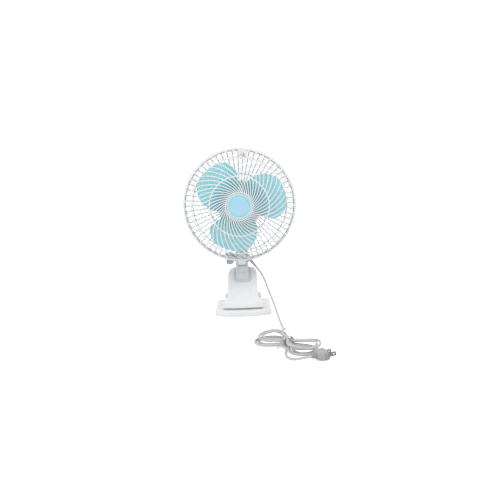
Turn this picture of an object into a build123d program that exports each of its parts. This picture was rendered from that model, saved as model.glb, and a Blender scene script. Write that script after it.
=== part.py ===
from build123d import *
import math
import os

# A small clip-on table fan: a round guarded head on a forked neck, standing on a
# sprung clip whose lower jaw is also the foot.  Millimetres and degrees.
# X is to the right seen from the front, Y runs from the front to the back, Z is up.
# The origin is under the middle of the foot, on the table.

os.makedirs("parts", exist_ok=True)

# ---------------------------------------------------------------- clearances
part_gap = 0.3            # between pieces that move past each other
running_gap = 0.05        # radial, a shaft in its bush or bore
slip_gap = 0.2            # radial, a pin or screw through a plain hole

# ---------------------------------------------------------------- heights
head_height = 211.0       # fan axis above the table
tilt_height = 105.0       # tilt pivot above the table

# ---------------------------------------------------------------- grilles
rim_radius = 105.0        # outside of both rims
rim_width = 3.6           # radial
rim_depth = 8.6           # front rim, along the axis
rear_rim_depth = 7.0
rim_plane = -42.0         # where the two rims meet
spigot_depth = 3.6        # tongue of the rear rim inside the front rim
spigot_wall = 1.4
rib_width = 1.8
rib_depth = 2.6
front_rib_count = 45
rear_rib_count = 60
swirl_radius = 72.5       # each front rib is an arc of this radius
swirl_offset = 60.5       # distance of the arc's centre from the fan axis
dome_front = -88.0        # front of the front grille at its centre ring
dome_mid = -85.6          # at the middle ring
dome_shoulder = -77.5     # at the shoulder ring
centre_ring_radius = 25.0
mid_ring_radius = 54.0
shoulder_radius = 87.0
badge_plate = 2.0
badge_radius = 23.4
badge_edge = 1.8          # straight part of its rim
badge_dome = 2.6          # rise of its crown
badge_disc_radius = 18.2
badge_groove = 0.6
lock_angle = 5.0          # lock tab, clockwise from the top
lock_radius = 93.5
lock_tab_radius = 8.4
lock_tab_thickness = 3.0
lock_tab_set_back = 8.0    # its face, in front of the rim
lock_screw_radius = 1.6
lock_head_radius = 3.4
rear_plane = -9.0         # back of the rear grille's flat centre
rear_plate = 3.0
ring_recess = 0.8         # the rings of the rear grille are this much thinner than its ribs
rear_plate_radius = 31.0
rear_mid_radius = 58.0
rear_shoulder_radius = 89.0
rear_mid_plane = -13.5    # back faces of the rear grille at its rings
rear_shoulder_plane = -20.0

# ---------------------------------------------------------------- impeller
blade_count = 3
blade_tip_radius = 86.5
blade_front = -70.0       # trailing edge
blade_back = -33.0        # leading edge
blade_first_angle = 4.0   # helix start, clockwise from the top
blade_last_angle = 128.0
blade_thickness = 1.5
hub_radius = 21.0
hub_wall = 2.2
hub_front = -72.0
hub_back = -34.0
hub_boss_radius = 7.0
spinner_radius = 14.0
spinner_depth = 8.0
spinner_crown = 2.4
spinner_grips = 8
crown_shares = (0.85, 0.6, 0.3)   # where a crown changes its slope

# ---------------------------------------------------------------- motor
shaft_radius = 3.0
shaft_front = -77.0
shaft_back = 40.0
housing_radius = 46.0
housing_wall = 2.5
housing_back = 22.0
housing_corner = 8.0
nose_radius = 12.5
nose_front = -20.0
grille_nut_radius = 27.0
grille_nut_thickness = 6.0
grille_nut_lobes = 9
cover_back = 60.0
cover_wall = 2.2
cover_corner = 14.0
cover_radius = 44.5
vent_count = 14
vent_inner = 15.0
vent_outer = 29.0
vent_width = 2.6
core_front = 4.0
core_back = 20.0
core_half_width = 24.0
core_top = 20.0
core_bottom = -34.0
core_limb = 7.0
air_gap = 0.4
rotor_radius = 13.0
window_half_width = 15.6
window_top = -16.0
bobbin_wall = 1.0
coil_build = 5.4
bush_radius = 5.0
bush_length = 8.0
bracket_thickness = 2.0
bracket_radius = 8.5
bracket_arm = 12.0
bolt_spread = 19.0        # motor screws, either side of the shaft
bolt_rise = 13.5
bolt_radius = 1.7
bolt_sides = 8
switch_width = 17.0
switch_depth = 12.0
spindle_radius = 2.2
speed_knob_radius = 10.5
speed_knob_depth = 11.0

# ---------------------------------------------------------------- neck
lug_radius = 18.0
lug_thickness = 14.4
stem_half_depth = 10.5
stem_flare = 15.0         # half width where the stem meets the housing
fork_width = 24.0
fork_slot = 15.0
fork_half_depth = 13.5
slot_floor = 77.0
plinth_half_width = 17.0
plinth_step = 2.4
tilt_bolt_radius = 3.0
tilt_head_radius = 6.0
tilt_head_height = 3.4
knob_hub_radius = 6.6
knob_length = 17.0
knob_wing_height = 25.0
knob_wing_thickness = 4.6
washer_thickness = 1.2
washer_radius = 7.5
gland_y = 9.0
gland_drop = 6.5          # below the tilt pivot
gland_flange_radius = 3.9
gland_flange = 1.2
gland_sleeve_radius = 3.1
gland_bend_radius = 6.5
gland_bend = 52.0          # how far the sleeve bends down
gland_taper = 14.0         # straight tapered end of the sleeve
gland_tip_radius = 2.3
gland_sides = 10

# ---------------------------------------------------------------- clip
jaw_wall = 2.5
lip_front = -50.5
lip_bottom = 15.4
lip_top = 22.0
lip_half_width = 39.5
lip_depth = 12.0
face_y = -14.0            # a point on the curved front face
face_z = 61.5
handle_y = 20.0           # top of the body
handle_top = 83.0
handle_end_y = 31.0
handle_end_z = 77.0
body_half_width = 29.7
handle_half_width = 28.0
handle_corner = 13.0
lip_sagitta = 2.5
lip_shoulder = 8.0        # the body narrows over this height above the lip
pin_y = 12.0
pin_z = 25.0
pin_radius = 2.5
pin_boss_radius = 6.2
pin_boss_length = 5.0
pin_cap_radius = 4.4
pin_cap_thickness = 1.6
pin_overhang = 2.0
knuckle_radius = 9.4      # lower rear corner of the body, round the pin
foot_width = 109.0
foot_front = -58.0
foot_back = 46.0
foot_top = 12.0
foot_lift = 0.8           # the moulding stands this high on its pad
foot_sagitta = 12.0
foot_corner = 8.0
foot_round = 5.0
foot_wall = 4.6
foot_roof = 2.8
cover_rebate = 2.8
cover_plate = 2.0
pad_inset = 5.0
ear_thickness = 4.5
ear_radius = 8.0
ear_half_base = 11.0
grip_half_width = 24.0
grip_top = 71.0
grip_thickness = 3.0
gusset_thickness = 2.5
jaw_pad_half_width = 36.5
upper_pad_front = -47.0
upper_pad_back = -39.6
upper_pad_seat = 2.0
lower_pad_front = -48.0
lower_pad_back = -38.5
lower_pad_seat = 1.1
lower_pad_rise = 1.3
wire_radius = 1.1
spring_coil_radius = 7.6
spring_turns = 3
spring_pitch = 2.9
spring_grip_angle = 39.0   # leg towards the rear grip, up from +Y
spring_grip_leg = 43.0
spring_body_angle = 84.0   # leg towards the top of the clip body, up from +Y
spring_body_leg = 45.5

# ---------------------------------------------------------------- cord
cord_radius = 1.9
layer_step = 4.5          # between strands, one above the other
loop_step = 5.2           # each turn of the hank is this much smaller
waist_step = 6.3          # and this much nearer the middle at the waist
hank_turns = 4
hank_x = 70.0             # middle of the waist
hank_y = -246.0
hank_turn = -48.0         # the hank's long axis, from +X
hank_half_length = 62.0
hank_lobe = 37.0          # widest place of a lobe, from the waist
hank_half_width = 24.5
waist_half_width = 14.0
waist_lift = 1.2
tie_width = 6.0
tie_thickness = 0.8
tie_corner = 2.4
tail_u = 44.5             # where the tail comes down onto the table, from the waist
tail_v = -40.0
tail_slope = 0.5
plug_x = 99.1             # where the cord enters the plug's collar
plug_y = -318.7
plug_turn = 25.0
plug_width = 24.0
plug_thickness = 14.0
plug_length = 16.0
plug_collar_length = 8.0
plug_collar_radius = 4.2
plug_pin_width = 6.3
plug_pin_thickness = 1.5
plug_pin_length = 14.0
plug_pin_spacing = 12.7


# ---------------------------------------------------------------- helpers
def face_plane(y):
    """Plane square to the fan axis at y, seen from the front."""
    return Plane(origin=(0, y, head_height), x_dir=(1, 0, 0), z_dir=(0, -1, 0))


# profile plane of everything turned about the fan axis: (y, radius)
turning_plane = Plane(origin=(0, 0, head_height), x_dir=(0, 1, 0), z_dir=(1, 0, 0))
fan_axis = Axis((0, 0, head_height), (0, 1, 0))


def clock(radius, angle):
    """Point on a face plane, angle clockwise from the top."""
    a = math.radians(angle)
    return (radius * math.sin(a), radius * math.cos(a))


def toward(point, centre, step):
    """The point moved towards a centre."""
    dy = centre[0] - point[0]
    dz = centre[1] - point[1]
    length = math.hypot(dy, dz)
    return (point[0] + dy / length * step, point[1] + dz / length * step)


def circle_centre(a, b, c):
    """Centre of the circle through three points of a plane."""
    d = 2 * (a[0] * (b[1] - c[1]) + b[0] * (c[1] - a[1]) + c[0] * (a[1] - b[1]))
    sa = a[0] ** 2 + a[1] ** 2
    sb = b[0] ** 2 + b[1] ** 2
    sc = c[0] ** 2 + c[1] ** 2
    u = (sa * (b[1] - c[1]) + sb * (c[1] - a[1]) + sc * (a[1] - b[1])) / d
    v = (sa * (c[0] - b[0]) + sb * (a[0] - c[0]) + sc * (b[0] - a[0])) / d
    return (u, v)


def crown_point(front, rise, radius, share):
    """Point on a spherical crown on the fan axis, at a share of its radius."""
    ball = (radius ** 2 + rise ** 2) / (2 * rise)
    r = radius * share
    return (front + ball - math.sqrt(ball ** 2 - r ** 2), r)


def eased(corner, before, after, radius):
    """Points that ease a right corner of a profile in three flats."""
    points = []
    for angle in (0, 30, 60, 90):
        a = math.radians(angle)
        along = radius * (1 - math.sin(a))
        across = radius * (1 - math.cos(a))
        points.append((
            corner[0] + before[0] * along + after[0] * across,
            corner[1] + before[1] * along + after[1] * across,
        ))
    return points


def turned(points):
    """Solid turned about the fan axis from a closed (y, radius) polygon."""
    with BuildPart() as body:
        with BuildSketch(turning_plane):
            with BuildLine():
                Polyline(*points, close=True)
            make_face()
        revolve(axis=fan_axis)
    return body.part


def tube_y(radius, bore, y0, y1):
    """Round ring or rod on the fan axis from y0 to y1."""
    return turned([(y0, bore), (y0, radius), (y1, radius), (y1, bore)])


def save(piece, name):
    """Label a finished piece and write it."""
    piece.label = name
    export_step(piece, "parts/" + name + ".step")


# ================================================================ front grille
def swirl_angle(radius):
    """Where a rib's arc crosses a given radius, as an angle about the arc's centre."""
    cosine = (swirl_offset ** 2 + swirl_radius ** 2 - radius ** 2) / (2 * swirl_offset * swirl_radius)
    return math.degrees(math.acos(cosine))


swirl_start = swirl_angle(centre_ring_radius)
swirl_end = swirl_angle(rim_radius - rim_width / 2)
rib_half = rib_width / 2

with BuildSketch() as front_rib:
    with BuildLine():
        outer_arc = CenterArc((-swirl_offset, 0), swirl_radius + rib_half, swirl_start, swirl_end - swirl_start)
        inner_arc = CenterArc((-swirl_offset, 0), swirl_radius - rib_half, swirl_start, swirl_end - swirl_start)
        Line(outer_arc @ 0, inner_arc @ 0)
        Line(outer_arc @ 1, inner_arc @ 1)
    make_face()

with BuildSketch() as mid_ring:
    Circle(mid_ring_radius + rib_half)
    Circle(mid_ring_radius - rib_half, mode=Mode.SUBTRACT)

with BuildSketch() as shoulder_ring:
    Circle(shoulder_radius + rib_half)
    Circle(shoulder_radius - rib_half, mode=Mode.SUBTRACT)

rim_inner = rim_radius - rim_width
rim_front = rim_plane - rim_depth
lock_plane = rim_front - lock_tab_set_back

with BuildSketch() as lock_tab:
    with Locations(Rotation(0, 0, -lock_angle)):
        with Locations((0, lock_radius)):
            Circle(lock_tab_radius)
        with Locations((0, lock_radius + lock_tab_radius / 2)):
            Rectangle(2 * lock_tab_radius, lock_tab_radius)

# the guard's bars: one pierced disc pushed through a thin domed shell
with BuildPart() as front_grille:
    with BuildSketch(face_plane(rim_front + rim_depth / 2)):
        with PolarLocations(0, front_rib_count):
            add(front_rib.sketch)
        add(mid_ring.sketch)
        add(shoulder_ring.sketch)
    extrude(amount=rim_front + rim_depth / 2 - dome_front + 2)
    with BuildSketch(turning_plane):
        with BuildLine():
            dome = Polyline(
                (dome_front, centre_ring_radius - 1),
                (dome_mid, mid_ring_radius),
                (dome_shoulder, shoulder_radius),
            )
            side = Line(dome @ 1, (rim_front + 1.5, rim_radius - 1.6))
            foot = Line(side @ 1, (rim_front + 1.5, rim_inner + 0.2))
            inner_side = Line(foot @ 1, (dome_shoulder + rib_depth, shoulder_radius - rib_depth * 0.6))
            inner_dome = Polyline(
                inner_side @ 1,
                (dome_mid + rib_depth, mid_ring_radius),
                (dome_front + rib_depth, centre_ring_radius - 1),
            )
            Line(inner_dome @ 1, dome @ 0)
        make_face()
    revolve(axis=fan_axis, mode=Mode.INTERSECT)
    # centre ring with the badge's seat
    with BuildSketch(turning_plane):
        with BuildLine():
            Polyline(
                (dome_front + badge_plate, 0),
                (dome_front + badge_plate, badge_radius + 0.4),
                (dome_front - 0.8, badge_radius + 0.4),
                (dome_front - 0.8, badge_radius + 2.0),
                (dome_front + rib_depth, centre_ring_radius + 1.0),
                (dome_front + 2 * badge_plate, 0),
                close=True,
            )
        make_face()
    revolve(axis=fan_axis)
    # rim
    with BuildSketch(turning_plane):
        with BuildLine():
            Polyline(
                (rim_plane, rim_radius),
                (rim_front + 1.6, rim_radius),
                (rim_front, rim_radius - 1.6),
                (rim_front, rim_inner),
                (rim_plane, rim_inner),
                close=True,
            )
        make_face()
    revolve(axis=fan_axis)
    # half-round lock tab hung from the top of the rim, with its screw hole
    with BuildSketch(face_plane(lock_plane)):
        add(lock_tab.sketch)
        Circle(rim_inner + 1, mode=Mode.INTERSECT)
    extrude(amount=-lock_tab_thickness)
    with BuildSketch(face_plane(lock_plane)):
        add(lock_tab.sketch)
        Circle(rim_inner + 0.6, mode=Mode.INTERSECT)
        Circle(rim_inner - 2.2, mode=Mode.SUBTRACT)
    extrude(amount=lock_plane - rim_front - 1)
    with BuildSketch(face_plane(lock_plane + 20)):
        with Locations(clock(lock_radius, lock_angle)):
            Circle(lock_screw_radius + slip_gap)
    extrude(amount=40, mode=Mode.SUBTRACT)
    with BuildSketch(face_plane(lock_plane)):
        with Locations(clock(lock_radius, lock_angle)):
            Circle(lock_head_radius + slip_gap)
    extrude(amount=40, mode=Mode.SUBTRACT)
save(front_grille.part, "front_grille")

# ---------------------------------------------------------------- badge
badge_back = dome_front + badge_plate
badge_rim = badge_back - badge_edge
badge_front = badge_rim - badge_dome
groove_bottom = crown_point(badge_front, badge_dome, badge_radius, badge_disc_radius / badge_radius)[0] + badge_groove
with BuildPart() as grille_badge:
    with BuildSketch(turning_plane):
        with BuildLine():
            Polyline(
                (badge_front, 0),
                (badge_back, 0),
                (badge_back, badge_radius),
                (badge_rim, badge_radius),
                *[crown_point(badge_front, badge_dome, badge_radius, share) for share in crown_shares],
                close=True,
            )
        make_face()
    revolve(axis=fan_axis)
    # shallow groove round the middle disc
    with BuildSketch(face_plane(groove_bottom)):
        Circle(badge_disc_radius + badge_groove)
        Circle(badge_disc_radius, mode=Mode.SUBTRACT)
    extrude(amount=2 * badge_dome, mode=Mode.SUBTRACT)
save(grille_badge.part, "grille_badge")

# ================================================================ rear grille
rear_front = rear_plane - rear_plate
rib_end_radius = rim_inner + 0.8
rib_end_plane = rim_plane + rear_rim_depth - 0.5

with BuildPart() as rear_rib:
    with BuildSketch(turning_plane):
        with BuildLine():
            Polyline(
                (rear_plane - 0.3, rear_plate_radius - 2),
                (rear_mid_plane, rear_mid_radius),
                (rear_shoulder_plane, rear_shoulder_radius),
                (rib_end_plane, rib_end_radius),
                (rib_end_plane - 2, rib_end_radius),
                (rear_shoulder_plane - rib_depth * 0.8, rear_shoulder_radius - rib_depth * 0.6),
                (rear_mid_plane - rib_depth, rear_mid_radius),
                (rear_front + 0.3, rear_plate_radius - 2),
                close=True,
            )
        make_face()
    extrude(amount=rib_half, both=True)

with BuildPart() as rear_grille:
    # two rings, a little thinner than the bars they tie together
    for plane, radius in ((rear_mid_plane, rear_mid_radius), (rear_shoulder_plane, rear_shoulder_radius)):
        with BuildSketch(turning_plane):
            with Locations((plane - rib_depth / 2, radius)):
                Rectangle(rib_depth - ring_recess, rib_width)
        revolve(axis=fan_axis)
    with BuildSketch(turning_plane):
        with BuildLine():
            Polyline(
                (rear_plane, nose_radius + slip_gap),
                (rear_plane, rear_plate_radius),
                (rear_front, rear_plate_radius),
                (rear_front, nose_radius + slip_gap),
                close=True,
            )
        make_face()
    revolve(axis=fan_axis)
    with BuildSketch(turning_plane):
        with BuildLine():
            Polyline(
                (rim_plane, rim_radius),
                (rim_plane + rear_rim_depth - 1.4, rim_radius),
                (rim_plane + rear_rim_depth, rim_radius - 1.4),
                (rim_plane + rear_rim_depth, rim_inner - spigot_wall),
                (rim_plane - spigot_depth, rim_inner - spigot_wall),
                (rim_plane - spigot_depth, rim_inner),
                (rim_plane, rim_inner),
                close=True,
            )
        make_face()
    revolve(axis=fan_axis)
    add([rear_rib.part.rotate(fan_axis, i * 360 / rear_rib_count) for i in range(rear_rib_count)])
    # post behind the lock tab, for its screw
    with BuildSketch(face_plane(rear_shoulder_plane - rib_depth / 2)):
        with Locations(clock(lock_radius, lock_angle)):
            Circle(lock_head_radius)
    extrude(amount=rear_shoulder_plane - rib_depth / 2 - (lock_plane + lock_tab_thickness))
    with BuildSketch(face_plane(lock_plane)):
        with Locations(clock(lock_radius, lock_angle)):
            Circle(lock_screw_radius)
    extrude(amount=-14, mode=Mode.SUBTRACT)
save(rear_grille.part, "rear_grille")

# ---------------------------------------------------------------- lock screw
with BuildPart() as grille_lock_screw:
    with BuildSketch(face_plane(lock_plane)):
        with Locations(clock(lock_radius, lock_angle)):
            Circle(lock_head_radius)
    extrude(amount=2.0)
    with BuildSketch(face_plane(lock_plane)):
        with Locations(clock(lock_radius, lock_angle)):
            Circle(lock_screw_radius)
    extrude(amount=-12)
save(grille_lock_screw.part, "grille_lock_screw")

# ---------------------------------------------------------------- ring nut
nut_back = rear_front
nut_front = nut_back - grille_nut_thickness
with BuildPart() as grille_nut:
    with BuildSketch(face_plane(nut_back)):
        Circle(grille_nut_radius)
        with PolarLocations(grille_nut_radius + 3.2, grille_nut_lobes):
            Circle(5.0, mode=Mode.SUBTRACT)
        Circle(nose_radius, mode=Mode.SUBTRACT)
    extrude(amount=grille_nut_thickness)
    with BuildSketch(face_plane(nut_front)):
        Circle(grille_nut_radius - 6.5)
        Circle(nose_radius + 2.5, mode=Mode.SUBTRACT)
    extrude(amount=-grille_nut_thickness / 2, mode=Mode.SUBTRACT)
save(grille_nut.part, "grille_nut")

# ================================================================ impeller
with BuildPart() as blade_slab:
    steps = 6
    for i in range(steps + 1):
        share = i / steps
        angle = blade_first_angle + share * (blade_last_angle - blade_first_angle)
        y = blade_front + share * (blade_back - blade_front)
        a = math.radians(angle)
        section_plane = Plane(
            origin=(0, y, head_height),
            x_dir=(math.sin(a), 0, math.cos(a)),
            z_dir=(math.cos(a), 0, -math.sin(a)),
        )
        with BuildSketch(section_plane):
            with Locations(((hub_radius + blade_tip_radius) / 2, 0)):
                Rectangle(blade_tip_radius - hub_radius + 14, blade_thickness)
    loft()

blade_root = hub_radius - hub_wall / 2
with BuildSketch() as blade_outline:
    with BuildLine():
        trailing = ThreePointArc(clock(blade_root, 13), clock(62, 30), clock(blade_tip_radius, 58))
        tip = ThreePointArc(trailing @ 1, clock(blade_tip_radius, 76), clock(blade_tip_radius, 93))
        leading = ThreePointArc(tip @ 1, clock(80, 105.5), clock(66, 116))
        lower = Line(leading @ 1, clock(32, 119))
        root = Line(lower @ 1, clock(blade_root, 117))
        ThreePointArc(root @ 1, clock(blade_root, 65), trailing @ 0)
    make_face()

with BuildPart() as blade:
    add(blade_slab.part)
    with BuildSketch(face_plane(blade_back + 12)):
        add(blade_outline.sketch)
    extrude(amount=blade_back - blade_front + 24, mode=Mode.INTERSECT)

with BuildPart() as impeller:
    with BuildSketch(turning_plane):
        with BuildLine():
            Polyline(
                (hub_front, shaft_radius),
                (hub_front, hub_radius - 3),
                (hub_front + 3, hub_radius),
                (hub_back, hub_radius),
                (hub_back, hub_radius - hub_wall),
                (hub_front + hub_wall + 2, hub_radius - hub_wall),
                (hub_front + hub_wall, hub_radius - hub_wall - 2),
                (hub_front + hub_wall, hub_boss_radius),
                (hub_back - 6, hub_boss_radius),
                (hub_back - 6, shaft_radius),
                close=True,
            )
        make_face()
    revolve(axis=fan_axis)
    for i in range(blade_count):
        add(blade.part.rotate(fan_axis, i * 360 / blade_count))
save(impeller.part, "impeller")

# ---------------------------------------------------------------- spinner nut
spinner_tip = hub_front - spinner_depth
spinner_rim = spinner_tip + spinner_crown
with BuildPart() as spinner_nut:
    with BuildSketch(turning_plane):
        with BuildLine():
            Polyline(
                (spinner_tip, 0),
                (shaft_front, 0),
                (shaft_front, shaft_radius),
                (hub_front, shaft_radius),
                (hub_front, spinner_radius),
                (spinner_rim, spinner_radius),
                *[crown_point(spinner_tip, spinner_crown, spinner_radius, share) for share in crown_shares],
                close=True,
            )
        make_face()
    revolve(axis=fan_axis)
    with BuildSketch(face_plane(hub_front)):
        with PolarLocations(spinner_radius + 1.2, spinner_grips):
            RegularPolygon(2.2, 6)
    extrude(amount=spinner_depth, mode=Mode.SUBTRACT)
save(spinner_nut.part, "spinner_nut")

# ---------------------------------------------------------------- shaft, rotor
save(tube_y(shaft_radius, 0, shaft_front, shaft_back), "shaft")
save(tube_y(rotor_radius, shaft_radius, core_front, core_back), "rotor_core")

# ================================================================ motor housing
fan_to_pivot = tilt_height - head_height
housing_front = rear_plane

with BuildPart() as motor_housing:
    # cup with a hollow threaded nose
    with BuildSketch(turning_plane):
        with BuildLine():
            Polyline(
                (housing_front, 0.5),
                *eased((housing_front, housing_radius), (0, -1), (1, 0), housing_corner),
                (housing_back, housing_radius),
                (housing_back, 0.5),
                close=True,
            )
        make_face()
    revolve(axis=fan_axis)
    # stem down to the tilt lug: side outline crossed with a front outline
    with BuildPart(mode=Mode.PRIVATE) as stem:
        with BuildSketch(Plane.YZ):
            with Locations((0, tilt_height)):
                Circle(lug_radius)
            with BuildLine():
                Polyline(
                    (-stem_half_depth, tilt_height),
                    (-stem_half_depth + 3, head_height - housing_radius + 6),
                    (stem_half_depth + 8, head_height - housing_radius + 6),
                    (stem_half_depth + 2, tilt_height + 20),
                    (stem_half_depth, tilt_height),
                    close=True,
                )
            make_face()
        extrude(amount=stem_flare, both=True)
        with BuildSketch(Plane.XZ):
            with BuildLine():
                half = lug_thickness / 2
                low = Line((half, tilt_height - lug_radius - 1), (half, tilt_height + lug_radius + 3))
                flare = ThreePointArc(
                    low @ 1,
                    (half + (stem_flare - half) * 0.3, tilt_height + lug_radius + 18),
                    (stem_flare, head_height - housing_radius + 7),
                )
                top = Line(flare @ 1, (0, head_height - housing_radius + 7))
                Line(low @ 0, (0, tilt_height - lug_radius - 1))
                mirror(about=Plane.YZ)
            make_face()
        extrude(amount=3 * lug_radius, both=True, mode=Mode.INTERSECT)
    add(stem.part)
    # inside of the cup
    with BuildSketch(turning_plane):
        with BuildLine():
            inner_corner = (housing_front + housing_wall, housing_radius - housing_wall)
            Polyline(
                (housing_front + housing_wall, 0.2),
                *eased(inner_corner, (0, -1), (1, 0), housing_corner - housing_wall),
                (housing_back + 1, housing_radius - housing_wall),
                (housing_back + 1, 0.2),
                close=True,
            )
        make_face()
    revolve(axis=fan_axis, mode=Mode.SUBTRACT)
    with BuildSketch(face_plane(housing_front + housing_wall / 2)):
        Circle(nose_radius)
    extrude(amount=housing_front + housing_wall / 2 - nose_front)
    with BuildSketch(face_plane(nose_front - 1)):
        Circle(bush_radius + slip_gap)
    extrude(amount=-(housing_front + housing_wall - nose_front + 2), mode=Mode.SUBTRACT)
    # bore of the lug
    with BuildSketch(Plane.YZ):
        with Locations((0, tilt_height)):
            Circle(tilt_bolt_radius + running_gap)
    extrude(amount=stem_flare, both=True, mode=Mode.SUBTRACT)
save(motor_housing.part, "motor_housing")

# ---------------------------------------------------------------- rear cover
with BuildPart() as rear_cover:
    with BuildSketch(turning_plane):
        with BuildLine():
            Polyline(
                (cover_back, 0),
                *eased((cover_back, cover_radius), (0, -1), (-1, 0), cover_corner),
                (housing_back, housing_radius),
                (housing_back, 0),
                close=True,
            )
        make_face()
    revolve(axis=fan_axis)
    with BuildSketch(turning_plane):
        with BuildLine():
            inner_corner = (cover_back - cover_wall, cover_radius - cover_wall)
            Polyline(
                (cover_back - cover_wall, 0),
                *eased(inner_corner, (0, -1), (-1, 0), cover_corner - cover_wall),
                (housing_back - 1, housing_radius - cover_wall),
                (housing_back - 1, 0),
                close=True,
            )
        make_face()
    revolve(axis=fan_axis, mode=Mode.SUBTRACT)
    with BuildSketch(face_plane(cover_back + 1)):
        with PolarLocations((vent_inner + vent_outer) / 2, vent_count):
            Rectangle(vent_outer - vent_inner, vent_width)
        Circle(spindle_radius + slip_gap)
    extrude(amount=cover_wall + 2, mode=Mode.SUBTRACT)
save(rear_cover.part, "rear_cover")

# ---------------------------------------------------------------- motor inside
core_centre = (core_front + core_back) / 2
limb_top = core_bottom + core_limb
with BuildPart() as stator_core:
    with BuildSketch(face_plane(core_back)):
        with Locations((0, (core_top + core_bottom) / 2)):
            Rectangle(2 * core_half_width, core_top - core_bottom)
        with Locations((0, (window_top + limb_top) / 2)):
            Rectangle(2 * window_half_width, window_top - limb_top, mode=Mode.SUBTRACT)
        Circle(rotor_radius + air_gap, mode=Mode.SUBTRACT)
        with Locations((-bolt_spread, bolt_rise), (bolt_spread, bolt_rise)):
            RegularPolygon(bolt_radius + slip_gap, bolt_sides, mode=Mode.SUBTRACT)
        with Locations((-bolt_spread, -bolt_rise), (bolt_spread, -bolt_rise)):
            RegularPolygon(bolt_radius + slip_gap, bolt_sides, mode=Mode.SUBTRACT)
    extrude(amount=core_back - core_front)
save(stator_core.part, "stator_core")

limb_mid = core_bottom + core_limb / 2
bobbin_half_x = window_half_width - part_gap
limb_plane = Plane(origin=(0, core_centre, head_height + limb_mid), x_dir=(0, 1, 0), z_dir=(1, 0, 0))
core_depth = core_back - core_front
with BuildPart() as bobbin:
    with BuildSketch(limb_plane):
        Rectangle(core_depth + 2 * (slip_gap + bobbin_wall), core_limb + 2 * (slip_gap + bobbin_wall))
        Rectangle(core_depth + 2 * slip_gap, core_limb + 2 * slip_gap, mode=Mode.SUBTRACT)
    extrude(amount=bobbin_half_x, both=True)
    with BuildSketch(limb_plane.offset(bobbin_half_x - bobbin_wall)) as flange:
        Rectangle(core_depth + 2 * coil_build + 2, core_limb + 2 * coil_build + 2)
        Rectangle(core_depth + 2 * slip_gap, core_limb + 2 * slip_gap, mode=Mode.SUBTRACT)
    extrude(amount=bobbin_wall)
    with BuildSketch(limb_plane.offset(-bobbin_half_x)):
        Rectangle(core_depth + 2 * coil_build + 2, core_limb + 2 * coil_build + 2)
        Rectangle(core_depth + 2 * slip_gap, core_limb + 2 * slip_gap, mode=Mode.SUBTRACT)
    extrude(amount=bobbin_wall)
save(bobbin.part, "coil_bobbin")

with BuildPart() as motor_coil:
    with BuildSketch(limb_plane):
        RectangleRounded(core_depth + 2 * coil_build, core_limb + 2 * coil_build, 2.5)
        Rectangle(core_depth + 2 * (slip_gap + bobbin_wall), core_limb + 2 * (slip_gap + bobbin_wall), mode=Mode.SUBTRACT)
    extrude(amount=bobbin_half_x - bobbin_wall, both=True)
save(motor_coil.part, "motor_coil")


def bracket(y_seat, inward):
    """Pressed bracket with a bearing cup, seated at y and reaching inward by its sign."""
    with BuildPart() as piece:
        with BuildSketch(face_plane(y_seat)):
            Circle(bracket_radius)
            with Locations(Rotation(0, 0, math.degrees(math.atan2(bolt_rise, bolt_spread)))):
                Rectangle(2 * math.hypot(bolt_spread, bolt_rise) + bracket_arm, bracket_arm)
            with Locations(Rotation(0, 0, -math.degrees(math.atan2(bolt_rise, bolt_spread)))):
                Rectangle(2 * math.hypot(bolt_spread, bolt_rise) + bracket_arm, bracket_arm)
            for x in (-bolt_spread, bolt_spread):
                for z in (-bolt_rise, bolt_rise):
                    with Locations((x, z)):
                        RegularPolygon(bolt_radius + slip_gap, bolt_sides, mode=Mode.SUBTRACT)
        extrude(amount=-inward * bracket_thickness)
        with BuildSketch(face_plane(y_seat)):
            Circle(bracket_radius)
        extrude(amount=-inward * 5.0)
        with BuildSketch(face_plane(y_seat)):
            Circle(bush_radius)
        extrude(amount=bush_length, both=True, mode=Mode.SUBTRACT)
    return piece.part


front_seat = housing_front + housing_wall
rear_seat = core_back + (core_front - front_seat)
save(bracket(front_seat, 1), "front_bracket")
save(bracket(rear_seat, -1), "rear_bracket")
save(tube_y(bush_radius, shaft_radius + running_gap, front_seat, front_seat + bush_length), "front_bush")
save(tube_y(bush_radius, shaft_radius + running_gap, rear_seat - 4, rear_seat - 4 + bush_length), "rear_bush")

with BuildPart() as motor_screws:
    with BuildSketch(face_plane(rear_seat + 3)):
        for x in (-bolt_spread, bolt_spread):
            for z in (-bolt_rise, bolt_rise):
                with Locations((x, z)):
                    RegularPolygon(bolt_radius, bolt_sides)
    extrude(amount=rear_seat + 3 - front_seat)
    with BuildSketch(face_plane(rear_seat + 2.4)):
        for x in (-bolt_spread, bolt_spread):
            for z in (-bolt_rise, bolt_rise):
                with Locations((x, z)):
                    RegularPolygon(3.2, 6)
    extrude(amount=2.4)
    for y0, y1 in ((front_seat + bracket_thickness, core_front), (core_back, rear_seat - bracket_thickness)):
        with BuildSketch(face_plane(y1)):
            for x in (-bolt_spread, bolt_spread):
                for z in (-bolt_rise, bolt_rise):
                    with Locations((x, z)):
                        RegularPolygon(bolt_radius + 1.4, 6)
        extrude(amount=y1 - y0)
save(motor_screws.part, "motor_screws")

# ---------------------------------------------------------------- speed switch
switch_back = cover_back - cover_wall
with BuildPart() as switch_body:
    with BuildSketch(face_plane(switch_back)):
        RectangleRounded(switch_width, switch_width, 2)
    extrude(amount=switch_depth)
    with BuildSketch(face_plane(switch_back + 1)):
        Circle(spindle_radius + running_gap)
    extrude(amount=7, mode=Mode.SUBTRACT)
save(switch_body.part, "switch_body")

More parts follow.
